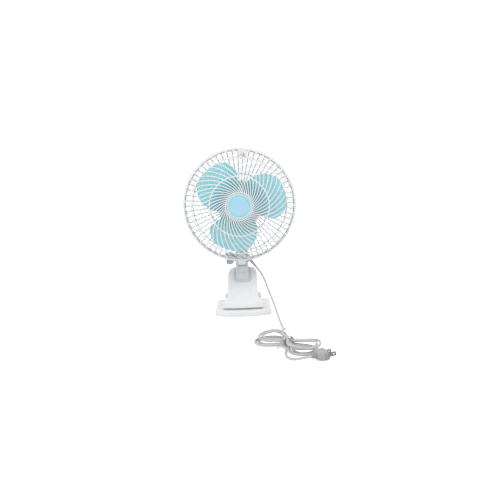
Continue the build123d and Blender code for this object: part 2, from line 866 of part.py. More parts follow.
with BuildPart() as speed_knob:
    with BuildSketch(face_plane(cover_back + part_gap + speed_knob_depth)):
        Circle(speed_knob_radius)
    extrude(amount=speed_knob_depth)
    with BuildSketch(face_plane(cover_back + part_gap + speed_knob_depth)):
        for side in (-1, 1):
            with Locations((side * (speed_knob_radius / 2 + 2.0), 0)):
                Rectangle(speed_knob_radius, 2.2 * speed_knob_radius, mode=Mode.ADD)
    extrude(amount=speed_knob_depth - 3, mode=Mode.SUBTRACT)
    with BuildSketch(face_plane(cover_back + part_gap)):
        Circle(spindle_radius)
    extrude(amount=cover_wall + part_gap + 5)
save(speed_knob.part, "speed_knob")


# ================================================================ clip body
arc_front = (lip_front, lip_top)
arc_mid = (face_y, face_z)
arc_back = (handle_y, handle_top)
arc_centre = circle_centre(arc_front, arc_mid, arc_back)

with BuildSketch() as body_side:
    with BuildLine():
        lip_line = Line((lip_front, lip_bottom), arc_front)
        face_arc = ThreePointArc(arc_front, arc_mid, arc_back)
        end_line = Line(arc_back, (handle_end_y, handle_end_z))
        back_line = Line((handle_end_y, handle_end_z), (pin_y + knuckle_radius, pin_z))
        knuckle = ThreePointArc(
            (pin_y + knuckle_radius, pin_z),
            (pin_y + knuckle_radius * math.sqrt(0.5), pin_z - knuckle_radius * math.sqrt(0.5)),
            (pin_y, pin_z - knuckle_radius),
        )
        Polyline((pin_y, pin_z - knuckle_radius), (pin_y - 6, lip_bottom), (lip_front, lip_bottom))
    make_face()
    fillet(body_side.vertices().sort_by(Axis.Y)[-1], radius=8)
    fillet(body_side.vertices().sort_by(Axis.X)[0:2].sort_by(Axis.Y)[-1], radius=2.5)

hollow_front = toward(arc_front, arc_centre, jaw_wall)
hollow_mid = toward(arc_mid, arc_centre, jaw_wall)
hollow_back = toward(arc_back, arc_centre, jaw_wall)
with BuildSketch() as body_hollow:
    with BuildLine():
        inner_arc = ThreePointArc(hollow_front, hollow_mid, hollow_back)
        Polyline(
            inner_arc @ 1,
            (handle_end_y + 2, handle_end_z - jaw_wall - 0.5),
            (foot_back + 20, handle_end_z - 20),
            (foot_back + 20, 0),
            (hollow_front[0], 0),
            inner_arc @ 0,
        )
    make_face()
    with Locations((lip_front + lip_depth - 50, 0)):
        Rectangle(100, 2 * head_height, mode=Mode.SUBTRACT)


def clip_block(side_outline, inset):
    """Side outline crossed with the plan and front outlines of the clip body, drawn in by inset."""
    half = body_half_width - inset
    lip_half = lip_half_width - inset
    shoulder = lip_top - 0.8 * inset
    front_radius = (lip_half_width ** 2 + lip_sagitta ** 2) / (2 * lip_sagitta)
    with BuildPart() as block:
        with BuildSketch(Plane.YZ):
            add(side_outline)
        extrude(amount=lip_half_width + 2, both=True)
        with BuildSketch(Plane.XY):
            with BuildLine():
                FilletPolyline(
                    (-lip_half, lip_front - 3),
                    (lip_half, lip_front - 3),
                    (lip_half, lip_front + lip_depth - 3),
                    (half, lip_front + lip_depth + 12),
                    (half, foot_back + 20),
                    (-half, foot_back + 20),
                    (-half, lip_front + lip_depth + 12),
                    (-lip_half, lip_front + lip_depth - 3),
                    radius=[5, 5, 7, 12, 1, 1, 12, 7],
                    close=True,
                )
            make_face()
            with Locations((0, lip_front + inset + front_radius)):
                Circle(front_radius, mode=Mode.INTERSECT)
        extrude(amount=head_height, mode=Mode.INTERSECT)
        with BuildSketch(Plane.XZ):
            with BuildLine():
                FilletPolyline(
                    (-lip_half - 3, 0),
                    (lip_half + 3, 0),
                    (lip_half + 3, shoulder + 1),
                    (half, shoulder + lip_shoulder),
                    (handle_half_width - inset, handle_top - inset),
                    (-handle_half_width + inset, handle_top - inset),
                    (-half, shoulder + lip_shoulder),
                    (-lip_half - 3, shoulder + 1),
                    radius=[1, 1, 3, 6, handle_corner, handle_corner, 6, 3],
                    close=True,
                )
            make_face()
        extrude(amount=2 * foot_width, both=True, mode=Mode.INTERSECT)
    return block.part


body_envelope = clip_block(body_side.sketch, 0)

with BuildPart() as clip_body:
    add(body_envelope)
    add(clip_block(body_hollow.sketch, jaw_wall), mode=Mode.SUBTRACT)
    # bosses for the hinge pin inside the side walls
    for side in (-1, 1):
        with BuildSketch(Plane.YZ.offset(side * (body_half_width - jaw_wall / 2))):
            with Locations((pin_y, pin_z)):
                Circle(pin_boss_radius)
        extrude(amount=-side * (pin_boss_length + jaw_wall / 2))
    with BuildSketch(Plane.YZ):
        with Locations((pin_y, pin_z)):
            Circle(pin_radius + running_gap)
    extrude(amount=foot_width, both=True, mode=Mode.SUBTRACT)
    # recess for the rubber strip under the lip
    with BuildSketch(Plane.XY.offset(lip_bottom)):
        with Locations((0, (upper_pad_front + upper_pad_back) / 2)):
            Rectangle(2 * jaw_pad_half_width, upper_pad_back - upper_pad_front)
    extrude(amount=upper_pad_seat, mode=Mode.SUBTRACT)
save(clip_body.part, "clip_body")

lower_pad_top = foot_top + lower_pad_rise
upper_pad_bottom = lower_pad_top + part_gap
with BuildPart() as upper_jaw_pad:
    with BuildSketch(Plane.XY.offset(upper_pad_bottom)):
        with Locations((0, (upper_pad_front + upper_pad_back) / 2)):
            Rectangle(2 * jaw_pad_half_width, upper_pad_back - upper_pad_front)
    extrude(amount=lip_bottom + upper_pad_seat - upper_pad_bottom)
save(upper_jaw_pad.part, "upper_jaw_pad")

# ================================================================ neck fork
with BuildPart() as neck_fork:
    with BuildSketch(Plane.YZ):
        with Locations((0, tilt_height)):
            Circle(fork_half_depth)
        with Locations((0, (tilt_height + lip_top) / 2)):
            Rectangle(2 * fork_half_depth, tilt_height - lip_top)
    extrude(amount=fork_width / 2, both=True)
    with BuildSketch(Plane.XZ):
        with Locations((0, (slot_floor + head_height) / 2)):
            Rectangle(fork_slot, head_height - slot_floor)
    extrude(amount=2 * fork_half_depth, both=True, mode=Mode.SUBTRACT)
    # low plinth that follows the curved face of the clip body
    plinth_normal = toward(arc_mid, arc_centre, -plinth_step)
    shift = (0, plinth_normal[0] - arc_mid[0], plinth_normal[1] - arc_mid[1])
    with BuildPart(mode=Mode.PRIVATE) as plinth:
        with BuildSketch(Plane.XY.offset(lip_top + 10)):
            RectangleRounded(2 * plinth_half_width, 2 * (fork_half_depth + 4.0), 5)
        extrude(amount=slot_floor + 9 - lip_top - 10)
        add(body_envelope.translate(shift), mode=Mode.INTERSECT)
    add(plinth.part)
    add(body_envelope, mode=Mode.SUBTRACT)
    # bolt hole through both ears
    with BuildSketch(Plane.YZ):
        with Locations((0, tilt_height)):
            Circle(tilt_bolt_radius + slip_gap)
    extrude(amount=fork_width, both=True, mode=Mode.SUBTRACT)
save(neck_fork.part, "neck_fork")

# ---------------------------------------------------------------- tilt bolt
fork_face = fork_width / 2
with BuildPart() as tilt_bolt:
    with BuildSketch(Plane.YZ.offset(fork_face + washer_thickness)):
        with Locations((0, tilt_height)):
            Circle(tilt_head_radius)
    extrude(amount=tilt_head_height)
    chamfer(tilt_bolt.edges().group_by(Axis.X)[-1], length=1.2)
    with BuildSketch(Plane.YZ.offset(fork_face + washer_thickness)):
        with Locations((0, tilt_height)):
            Circle(tilt_bolt_radius)
    extrude(amount=-(fork_width + 2 * washer_thickness + knob_length - 3))
save(tilt_bolt.part, "tilt_bolt")

with BuildPart() as tilt_washers:
    for x in (fork_face, -fork_face - washer_thickness):
        with BuildSketch(Plane.YZ.offset(x)):
            with Locations((0, tilt_height)):
                Circle(washer_radius if x < 0 else tilt_head_radius + 0.8)
                Circle(tilt_bolt_radius + slip_gap, mode=Mode.SUBTRACT)
        extrude(amount=washer_thickness)
save(tilt_washers.part, "tilt_washers")

# ---------------------------------------------------------------- tilt knob
knob_face = -fork_face - washer_thickness - part_gap
with BuildPart() as tilt_knob:
    with BuildSketch(Plane.YZ.offset(knob_face)):
        with Locations((0, tilt_height)):
            Circle(knob_hub_radius)
    extrude(amount=-knob_length, taper=4)
    # two flared wings
    for up in (-1, 1):
        with BuildSketch(Plane.XZ):
            with BuildLine():
                wing = FilletPolyline(
                    (knob_face - 1.0, tilt_height),
                    (knob_face - 1.0, tilt_height + up * (knob_hub_radius - 1.5)),
                    (knob_face - 6.0, tilt_height + up * knob_wing_height / 2),
                    (knob_face - knob_length, tilt_height + up * knob_wing_height / 2),
                    (knob_face - knob_length, tilt_height + up * (knob_hub_radius - 3.0)),
                    (knob_face - knob_length + 4.5, tilt_height),
                    radius=[1.0, 4.5, 3.5, 2.5],
                )
                Line(wing @ 1, wing @ 0)
            make_face()
        extrude(amount=knob_wing_thickness / 2, both=True)
    with BuildSketch(Plane.YZ.offset(knob_face)):
        with Locations((0, tilt_height)):
            Circle(tilt_bolt_radius + running_gap)
    extrude(amount=-(knob_length - 2), mode=Mode.SUBTRACT)
save(tilt_knob.part, "tilt_knob")

# ---------------------------------------------------------------- cord gland
gland_z = tilt_height - gland_drop
gland_root = (fork_face + gland_flange, gland_y, gland_z)
bend = math.radians(gland_bend)
gland_elbow = Vector(
    fork_face + gland_flange + gland_bend_radius * math.sin(bend),
    gland_y,
    gland_z - gland_bend_radius * (1 - math.cos(bend)),
)
gland_dir = Vector(math.cos(bend), 0, -math.sin(bend))
gland_end = gland_elbow + gland_dir * gland_taper
with BuildPart() as cord_gland:
    with BuildSketch(Plane.YZ.offset(fork_face)):
        with Locations((gland_y, gland_z)):
            Circle(gland_flange_radius)
    extrude(amount=gland_flange)
    with BuildLine():
        TangentArc(gland_root, gland_elbow, tangent=(1, 0, 0))
    with BuildSketch(Plane.YZ.offset(fork_face + gland_flange)):
        with Locations((gland_y, gland_z)):
            RegularPolygon(gland_sleeve_radius, gland_sides)
    sweep()
    with BuildSketch(Plane(origin=gland_elbow, x_dir=(0, 1, 0), z_dir=gland_dir)):
        RegularPolygon(gland_sleeve_radius, gland_sides)
    with BuildSketch(Plane(origin=gland_end, x_dir=(0, 1, 0), z_dir=gland_dir)):
        RegularPolygon(gland_tip_radius, gland_sides)
    loft()
save(cord_gland.part, "cord_gland")

# ================================================================ lower jaw and foot
foot_length = foot_back - foot_front
foot_front_radius = ((foot_width / 2) ** 2 + foot_sagitta ** 2) / (2 * foot_sagitta)


def foot_outline(inset):
    """Plan of the foot, drawn in by inset."""
    with BuildSketch() as plan:
        with Locations((0, (foot_front + foot_back) / 2)):
            Rectangle(foot_width, foot_length)
        with Locations((0, foot_front + foot_front_radius)):
            Circle(foot_front_radius, mode=Mode.INTERSECT)
        fillet(plan.vertices(), radius=foot_corner)
        if inset > 0:
            offset(amount=-inset)
    return plan.sketch


with BuildPart() as lower_jaw:
    with BuildSketch(Plane.XY.offset(foot_lift)):
        add(foot_outline(0))
    extrude(amount=foot_top - foot_lift)
    fillet(lower_jaw.edges().group_by(Axis.Z)[-1], radius=foot_round)
    with BuildSketch(Plane.XY.offset(foot_lift)):
        add(foot_outline(foot_wall))
    extrude(amount=foot_top - foot_roof - foot_lift, mode=Mode.SUBTRACT)
    with BuildSketch(Plane.XY.offset(foot_lift)):
        add(foot_outline(cover_rebate))
    extrude(amount=cover_plate, mode=Mode.SUBTRACT)
    # ears for the hinge pin, outside the clip body
    for side in (-1, 1):
        with BuildSketch(Plane.YZ.offset(side * (body_half_width + part_gap + 0.2))):
            with BuildLine():
                ear_arc = CenterArc((pin_y, pin_z), ear_radius, 0, 180)
                Polyline(
                    ear_arc @ 1,
                    (pin_y - ear_half_base, foot_top - 1),
                    (pin_y + ear_half_base, foot_top - 1),
                    ear_arc @ 0,
                )
            make_face()
        extrude(amount=side * ear_thickness)
    # rear grip, curved up behind the clip body, with two gussets
    with BuildSketch(Plane.YZ):
        with BuildLine():
            grip_in = ThreePointArc((foot_back - 4, foot_top - 1), (foot_back + 4.5, 40), (foot_back + 10, grip_top))
            grip_out = ThreePointArc(
                (foot_back - 0.8, foot_top - 6),
                (foot_back + 4.5 + grip_thickness, 38),
                (foot_back + 10 + grip_thickness, grip_top - 0.6),
            )
            Line(grip_in @ 0, grip_out @ 0)
            ThreePointArc(
                grip_in @ 1,
                (foot_back + 10 + grip_thickness / 2 + 0.2, grip_top + 1.2),
                grip_out @ 1,
            )
        make_face()
    extrude(amount=grip_half_width, both=True)
    for side in (-1, 1):
        with BuildSketch(Plane.YZ.offset(side * grip_half_width)):
            with BuildLine():
                gusset_arc = ThreePointArc((pin_y + 16, foot_top - 1), (foot_back - 5, 33), (foot_back + 8.5, grip_top - 6))
                Polyline(
                    gusset_arc @ 1,
                    (foot_back + 10, grip_top - 6),
                    (foot_back + 3, 34),
                    (foot_back - 3, foot_top - 1),
                    gusset_arc @ 0,
                )
            make_face()
        extrude(amount=-side * gusset_thickness)
    with BuildSketch(Plane.YZ):
        with Locations((pin_y, pin_z)):
            Circle(pin_radius)
    extrude(amount=foot_width, both=True, mode=Mode.SUBTRACT)
    # seat of the rubber strip
    with BuildSketch(Plane.XY.offset(foot_top - lower_pad_seat)):
        with Locations((0, (lower_pad_front + lower_pad_back) / 2)):
            Rectangle(2 * jaw_pad_half_width, lower_pad_back - lower_pad_front)
    extrude(amount=2 * lower_pad_seat, mode=Mode.SUBTRACT)
save(lower_jaw.part, "lower_jaw")

with BuildPart() as lower_jaw_pad:
    with BuildSketch(Plane.XY.offset(foot_top - lower_pad_seat)):
        with Locations((0, (lower_pad_front + lower_pad_back) / 2)):
            Rectangle(2 * jaw_pad_half_width, lower_pad_back - lower_pad_front)
    extrude(amount=lower_pad_seat + lower_pad_rise)
save(lower_jaw_pad.part, "lower_jaw_pad")

with BuildPart() as foot_cover:
    with BuildSketch(Plane.XY.offset(foot_lift)):
        add(foot_outline(cover_rebate + 0.1))
    extrude(amount=cover_plate)
save(foot_cover.part, "foot_cover")

with BuildPart() as foot_pad:
    with BuildSketch(Plane.XY):
        add(foot_outline(pad_inset))
    extrude(amount=foot_lift)
save(foot_pad.part, "foot_pad")

# ---------------------------------------------------------------- hinge pin
ear_outer = body_half_width + part_gap + 0.2 + ear_thickness
with BuildPart() as hinge_pin:
    with BuildSketch(Plane.YZ):
        with Locations((pin_y, pin_z)):
            Circle(pin_radius)
    extrude(amount=ear_outer + pin_overhang, both=True)
save(hinge_pin.part, "hinge_pin")

with BuildPart() as pin_caps:
    for side in (-1, 1):
        with BuildSketch(Plane.YZ.offset(side * ear_outer)):
            with Locations((pin_y, pin_z)):
                Circle(pin_cap_radius)
                Circle(pin_radius, mode=Mode.SUBTRACT)
        extrude(amount=side * pin_cap_thickness)
save(pin_caps.part, "pin_caps")


# ================================================================ wound and laid pieces
def biarc(start, start_dir, end, end_dir):
    """Two tangent arcs from a point and direction to another."""
    p0 = Vector(start)
    p1 = Vector(end)
    t0 = Vector(start_dir).normalized()
    t1 = Vector(end_dir).normalized()
    v = p1 - p0
    t = t0 + t1
    share = 2 * (1 - t0.dot(t1))
    if share < 1e-6:
        d = v.dot(v) / (4 * v.dot(t0))
    else:
        d = (-v.dot(t) + math.sqrt(v.dot(t) ** 2 + share * v.dot(v))) / share
    middle = (p0 + p1 + (t0 - t1) * d) * 0.5
    TangentArc(p0, middle, tangent=t0)
    TangentArc(middle, p1, tangent=(v - t * d).normalized())


# ---------------------------------------------------------------- clip spring
# a leg against the rear grip, the coil from left to right, a leg under the top of the body
coil_turn = 360 * spring_turns + 180 + spring_grip_angle - spring_body_angle
coil_steps = math.ceil(coil_turn / 90)
coil_width = spring_pitch * coil_turn / 360
coil_lean = spring_pitch / (2 * math.pi * spring_coil_radius)
with BuildPart() as clip_spring:
    with BuildLine() as spring_line:
        angle = math.radians(spring_grip_angle - 90)
        point = Vector(
            -coil_width / 2,
            pin_y + spring_coil_radius * math.cos(angle),
            pin_z + spring_coil_radius * math.sin(angle),
        )
        heading = Vector(0, math.sin(angle), -math.cos(angle))
        Line(point - heading * spring_grip_leg, point)
        for i in range(coil_steps):
            angle -= math.radians(coil_turn / coil_steps)
            next_point = Vector(
                -coil_width / 2 + (i + 1) * coil_width / coil_steps,
                pin_y + spring_coil_radius * math.cos(angle),
                pin_z + spring_coil_radius * math.sin(angle),
            )
            lean = 0 if i == coil_steps - 1 else coil_lean
            next_heading = Vector(lean, math.sin(angle), -math.cos(angle))
            biarc(point, heading, next_point, next_heading)
            point = next_point
            heading = next_heading
        Line(point, point + heading.normalized() * spring_body_leg)
    with BuildSketch(Plane(origin=spring_line.line @ 0, z_dir=spring_line.line % 0)):
        RegularPolygon(wire_radius, 6)
    sweep()
save(clip_spring.part, "clip_spring")

# ================================================================ cord
hank_angle = math.radians(hank_turn)
along = Vector(math.cos(hank_angle), math.sin(hank_angle), 0)
across = Vector(-math.sin(hank_angle), math.cos(hank_angle), 0)
hank_middle = Vector(hank_x, hank_y, 0)
plug_angle = math.radians(plug_turn)
plug_dir = Vector(math.cos(plug_angle), math.sin(plug_angle), 0)
plug_height = plug_thickness / 2 + 0.05
plug_entry = Vector(plug_x, plug_y, plug_height)


def on_hank(u, v, layer, lift=0.0):
    """Point u along and v across the hank, its layer counted from the table."""
    return hank_middle + along * u + across * v + Vector(0, 0, cord_radius + layer * layer_step + lift)


def hank_heading(u, v):
    """Level direction given along and across the hank."""
    return (along * u + across * v).normalized()


def hank_stations():
    """Points and directions round the hank: eight to a turn, spiralling in and out again."""
    stations = []
    half_way = 8 * hank_turns // 2
    for k in range(8 * hank_turns):
        share = k / 8 if k <= half_way else hank_turns - k / 8
        layer = 0 if k < half_way else 1
        if k == 8 * hank_turns - 1:
            layer = 2
        end = hank_half_length - loop_step * share
        wide = hank_half_width - loop_step * share
        waist = waist_half_width - waist_step * share
        place = k % 8
        if place == 0:
            stations.append((on_hank(0, -waist, layer, waist_lift), hank_heading(-1, 0)))
        elif place == 1:
            stations.append((on_hank(-hank_lobe, -wide, layer), hank_heading(-1, 0)))
        elif place == 2:
            stations.append((on_hank(-end, 0, layer), hank_heading(0, 1)))
        elif place == 3:
            stations.append((on_hank(-hank_lobe, wide, layer), hank_heading(1, 0)))
        elif place == 4:
            stations.append((on_hank(0, waist, layer, waist_lift), hank_heading(1, 0)))
        elif place == 5:
            stations.append((on_hank(hank_lobe, wide, layer), hank_heading(1, 0)))
        elif place == 6:
            stations.append((on_hank(end, 0, layer), hank_heading(0, -1)))
        else:
            stations.append((on_hank(hank_lobe, -wide, layer), hank_heading(-1, 0)))
    return stations


# the tail leaves the plug, joins the first turn, and the last turn crosses over the waist
tail_out = plug_entry - plug_dir * 2 * cord_radius
lead_heading = hank_heading(-0.81, 0.58)
hank_end = on_hank(-11, 3.2, 2, waist_lift)
with BuildLine() as hank_line:
    Line(plug_entry, tail_out)
    point = tail_out
    heading = -plug_dir
    route = [(on_hank(tail_u, tail_v, 0), hank_heading(-1, tail_slope))]
    route += hank_stations()
    route.append((on_hank(2, -1.2, 2, waist_lift), hank_heading(-1, 0.15)))
    route.append((hank_end, lead_heading))
    for next_point, next_heading in route:
        biarc(point, heading, next_point, next_heading)
        point = next_point
        heading = next_heading
    Line(point, point + heading * 2 * cord_radius)
hank_wire = Wire(hank_line.edges())
lead_end = hank_wire @ 1

with BuildPart() as cord_hank:
    with BuildSketch(Plane(origin=hank_wire @ 0, z_dir=hank_wire % 0)):
        RegularPolygon(cord_radius, 6)
    sweep(path=hank_wire)
save(cord_hank.part, "cord_hank")


def least_gap(wire, diameter):
    """Smallest clear distance between a tube's strands, from points along its middle."""
    count = int(wire.length / 1.0)
    spots = [(p.X, p.Y, p.Z) for p in wire.positions([i / count for i in range(count + 1)])]
    skip = int(4 * diameter)
    best = 1e9
    for i in range(0, len(spots) - skip):
        ax, ay, az = spots[i]
        for j in range(i + skip, len(spots)):
            bx, by, bz = spots[j]
            d = (ax - bx) ** 2 + (ay - by) ** 2 + (az - bz) ** 2
            if d < best:
                best = d
    return math.sqrt(best) - diameter


print("hank: length", round(hank_wire.length, 1), "least gap to itself", round(least_gap(hank_wire, 2 * cord_radius), 2))
section = 6 * math.sin(math.radians(60)) / 2 * cord_radius ** 2
print("hank: volume", round(cord_hank.part.volume), "section times length", round(section * hank_wire.length))
spring_wire = Wire(spring_line.edges())
print("spring: least gap to itself", round(least_gap(spring_wire, 2 * wire_radius), 2))

# ---------------------------------------------------------------- free length of cord
lead_points = [
    gland_end,
    gland_end + gland_dir * 20,
    Vector(45.5, -9, 54),
    Vector(49.5, -28, 44),
    Vector(56.5, -55, 29),
    Vector(62.5, -91, 13.5),
    Vector(67, -128, 3.4),
    Vector(69.6, -164, 2.5),
    Vector(70.6, -196, 9.4),
    lead_end + lead_heading * 14,
    lead_end,
]
lead_radii = []
for i in range(1, len(lead_points) - 1):
    before = lead_points[i] - lead_points[i - 1]
    after = lead_points[i + 1] - lead_points[i]
    turn = math.radians(before.get_angle(after))
    lead_radii.append(0.45 * min(before.length, after.length) / math.tan(turn / 2))
print("lead: radii", [round(r) for r in lead_radii])
with BuildLine() as lead_line:
    FilletPolyline(*lead_points, radius=lead_radii)
lead_wire = Wire(lead_line.edges())
with BuildPart() as cord_lead:
    with BuildSketch(Plane(origin=lead_wire @ 0, z_dir=lead_wire % 0)):
        RegularPolygon(cord_radius, 6)
    sweep(path=lead_wire)
save(cord_lead.part, "cord_lead")
print("lead: length", round(lead_wire.length, 1), "volume", round(cord_lead.part.volume),
      "section times length", round(section * lead_wire.length))

# ---------------------------------------------------------------- tie round the waist
tie_half = waist_half_width + cord_radius + part_gap
tie_under = waist_lift - part_gap
tie_over = waist_lift + 2 * layer_step + 2 * cord_radius + part_gap
tie_plane = Plane(
    origin=hank_middle + Vector(0, 0, (tie_over + tie_under) / 2) - along * tie_width / 2,
    x_dir=across,
    z_dir=along,
)
with BuildPart() as cord_tie:
    with BuildSketch(tie_plane):
        RectangleRounded(2 * (tie_half + tie_thickness), tie_over - tie_under + 2 * tie_thickness, tie_corner + tie_thickness)
        RectangleRounded(2 * tie_half, tie_over - tie_under, tie_corner, mode=Mode.SUBTRACT)
    extrude(amount=tie_width)
save(cord_tie.part, "cord_tie")

# ---------------------------------------------------------------- plug
plug_plane = Plane(origin=plug_entry, x_dir=Vector(0, 0, 1).cross(plug_dir), z_dir=plug_dir)
with BuildPart() as plug_body:
    with BuildSketch(plug_plane):
        Circle(cord_radius + 1.0)
    with BuildSketch(plug_plane.offset(plug_collar_length)):
        Circle(plug_collar_radius)
    loft()
    with BuildSketch(plug_plane.offset(plug_collar_length)):
        RectangleRounded(plug_width * 0.55, plug_thickness * 0.75, 4)
    with BuildSketch(plug_plane.offset(plug_collar_length + plug_length * 0.45)):
        RectangleRounded(plug_width, plug_thickness, 4)
    loft()
    with BuildSketch(plug_plane.offset(plug_collar_length + plug_length * 0.45)):
        RectangleRounded(plug_width, plug_thickness, 4)
    extrude(amount=plug_length * 0.55)
save(plug_body.part, "plug_body")

with BuildPart() as plug_pins:
    with BuildSketch(plug_plane.offset(plug_collar_length + plug_length)):
        with Locations((-plug_pin_spacing / 2, 0), (plug_pin_spacing / 2, 0)):
            Rectangle(plug_pin_thickness, plug_pin_width)
    extrude(amount=plug_pin_length)
save(plug_pins.part, "plug_pins")
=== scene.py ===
import math

import bmesh
import bpy
from bpy.props import FloatProperty, FloatVectorProperty, IntProperty, PointerProperty
from mathutils import Matrix, Vector


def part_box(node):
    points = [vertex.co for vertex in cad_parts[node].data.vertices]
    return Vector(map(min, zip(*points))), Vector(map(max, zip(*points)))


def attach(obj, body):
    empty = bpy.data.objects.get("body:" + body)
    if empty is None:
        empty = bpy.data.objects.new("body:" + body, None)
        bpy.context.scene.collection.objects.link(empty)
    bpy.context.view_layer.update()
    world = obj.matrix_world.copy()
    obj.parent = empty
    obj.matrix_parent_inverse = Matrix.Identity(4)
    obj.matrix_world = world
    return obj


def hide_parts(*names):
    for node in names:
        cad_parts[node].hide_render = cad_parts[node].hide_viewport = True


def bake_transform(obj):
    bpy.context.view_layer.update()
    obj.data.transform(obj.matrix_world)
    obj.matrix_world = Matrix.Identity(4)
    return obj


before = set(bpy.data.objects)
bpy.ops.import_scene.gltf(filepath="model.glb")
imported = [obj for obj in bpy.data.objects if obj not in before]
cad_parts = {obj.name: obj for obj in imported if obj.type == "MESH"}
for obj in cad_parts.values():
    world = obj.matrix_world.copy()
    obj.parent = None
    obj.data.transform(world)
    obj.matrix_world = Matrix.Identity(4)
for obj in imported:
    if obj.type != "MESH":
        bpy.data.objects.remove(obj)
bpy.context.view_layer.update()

bl_info = {
    "name": "Clip Fan",
    "version": (1, 0, 0),
    "blender": (4, 5, 0),
    "location": "View3D > Sidebar > Clip Fan",
    "description": "Dresses a small clip-on table fan: plastics, blades, cord, plug and stage",
    "category": "Object",
}

MM = 0.001                # sizes multiplied by MM are in millimetres, all others in metres
AXIS_HEIGHT = 0.211       # fan axis above the table
DUST = (0.62, 0.61, 0.58, 1.0)


# ---------------------------------------------------------------- settings
def colour_property(name, description, default):
    return FloatVectorProperty(
        name=name, description=description, subtype="COLOR", size=4, min=0.0, max=1.0, default=default
    )


def length_property(name, description, default):
    return FloatProperty(
        name=name, description=description, subtype="DISTANCE", unit="LENGTH", precision=4, default=default
    )


class FanColours(bpy.types.PropertyGroup):
    white: colour_property("White plastic", "Guards, motor housing and clip", (0.85, 0.86, 0.875, 1))
    aqua: colour_property("Blade aqua", "Outer part of the tinted blades", (0.47, 0.93, 1.0, 1))
    # painted shade: the deeper teal that the blades take near the hub
    aqua_painted_shade: colour_property("Blade teal", "Painted shade on the blades near the hub", (0.05, 0.40, 0.47, 1))
    badge_rim: colour_property("Badge rim", "Outer zone of the badge", (0.43, 0.76, 0.83, 1))
    badge_middle: colour_property("Badge middle", "Disc in the middle of the badge", (0.40, 0.69, 0.86, 1))
    teal: colour_property("Knob teal", "Tilt knob and speed knob", (0.36, 0.47, 0.465, 1))
    fork: colour_property("Fork grey", "Neck fork", (0.62, 0.66, 0.69, 1))
    # this grey also serves as painted shade in the gap under the lip
    rubber: colour_property("Rubber grey", "Jaw strips and foot pad", (0.47, 0.48, 0.49, 1))
    cord: colour_property("Cord white", "Cord and its tie and sleeve", (0.58, 0.58, 0.59, 1))
    plug: colour_property("Plug grey", "Moulded plug", (0.42, 0.42, 0.43, 1))
    # painted shade: the dark brown of the plate round the pins
    plug_face_painted_shade: colour_property("Plug face", "Plate round the pins of the plug", (0.22, 0.20, 0.17, 1))
    steel: colour_property("Steel", "Screws, pin, spring and shaft", (0.72, 0.73, 0.74, 1))
    brass: colour_property("Pin brass", "Blades of the plug", (0.22, 0.20, 0.17, 1))
    copper: colour_property("Winding", "Motor winding", (0.50, 0.20, 0.09, 1))


class CordSizes(bpy.types.PropertyGroup):
    radius: length_property("Radius", "Half the thickness of the cord", 0.0019)
    turns: IntProperty(name="Turns", description="Turns of the tied hank", default=4)
    half_length: length_property("Half length", "Half the length of the outer turn", 0.05981)
    lobe: length_property("Lobe", "Widest place of a lobe, from the waist", 0.03406)
    half_width: length_property("Half width", "Half the width of the outer turn", 0.02701)
    waist: length_property("Waist", "Half the width between the outer turn's sides at the tie", 0.0094)
    end_step: length_property("End step", "Each turn is this much shorter", 0.00494)
    side_step: length_property("Side step", "Each turn is this much narrower", 0.00666)
    lobe_step: length_property("Lobe step", "Each turn is widest this much nearer the waist", -0.00125)
    waist_step: length_property("Waist step", "Each turn is this much nearer the middle at the waist", 0.00421)
    layer_step: length_property("Layer step", "One layer above the other", 0.0047)
    waist_lift: length_property("Waist lift", "The waist lies this high on its tie", 0.0020)
    fan_under: length_property("Lower fan", "Lobe ends of the lower layer lie this far to the near side", -0.0030)
    fan_over: length_property("Upper fan", "Lobe ends of the upper layer lie this far to the far side", 0.0015)
    lift_over: length_property("Upper lift", "Lobe ends of the upper layer spring up this far", 0.0090)


class StageSettings(bpy.types.PropertyGroup):
    camera_side: length_property("Camera side", "Camera to the right of the fan", 0.0165)
    camera_distance: length_property("Camera distance", "Camera in front of the fan", 1.100)
    camera_height: length_property("Camera height", "Camera above the table", 0.275)
    pitch: FloatProperty(
        name="Pitch", description="How far the camera looks down", subtype="ANGLE", default=math.radians(8.06)
    )
    roll: FloatProperty(
        name="Roll", description="How far the camera leans to its right", subtype="ANGLE", default=math.radians(2.0)
    )
    lens: FloatProperty(name="Lens", description="Focal length in millimetres", default=40.68)
    key_power: FloatProperty(name="Key light", description="Power of the large front light", default=7.6)
    fill_power: FloatProperty(name="Fill light", description="Power of the side light", default=4.2)
    rim_power: FloatProperty(name="Rim light", description="Power of the light from behind", default=1.6)
    sky: FloatProperty(name="Sky", description="Strength of the even light from all round", default=0.83)


def colours():
    return bpy.context.scene.clip_fan_colours


def cord_sizes():
    return bpy.context.scene.clip_fan_cord


def stage_settings():
    return bpy.context.scene.clip_fan_stage


# ---------------------------------------------------------------- node helpers
def link(tree, source, target):
    tree.links.new(source, target)


def feed(tree, value, socket):
    """Gives an input its value: another node's output or a constant."""
    if isinstance(value, bpy.types.NodeSocket):
        link(tree, value, socket)
    else:
        socket.default_value = value


def add_node(tree, kind, **values):
    """A shader node with its attributes or its named inputs set."""
    node = tree.nodes.new(kind)
    for key, value in values.items():
        if hasattr(node, key):
            setattr(node, key, value)
        else:
            feed(tree, value, node.inputs[key.replace("_", " ")])
    return node


def calculate(tree, operation, *given, kind="Math", out="Value", **values):
    """An output of a math node; each value given is a socket or a constant."""
    node = add_node(tree, "ShaderNode" + kind, operation=operation, **values)
    for value, socket in zip(given, node.inputs):
        feed(tree, value, socket)
    return node.outputs[out]


def ramp(tree, value, start, end, **values):
    """Goes from 0 to 1, or between other limits, as a value goes from start to end."""
    return add_node(tree, "ShaderNodeMapRange", Value=value, From_Min=start, From_Max=end, **values).outputs["Result"]


def noise(tree, vector, scale, detail):
    return add_node(tree, "ShaderNodeTexNoise", Vector=vector, Scale=scale, Detail=detail).outputs["Fac"]


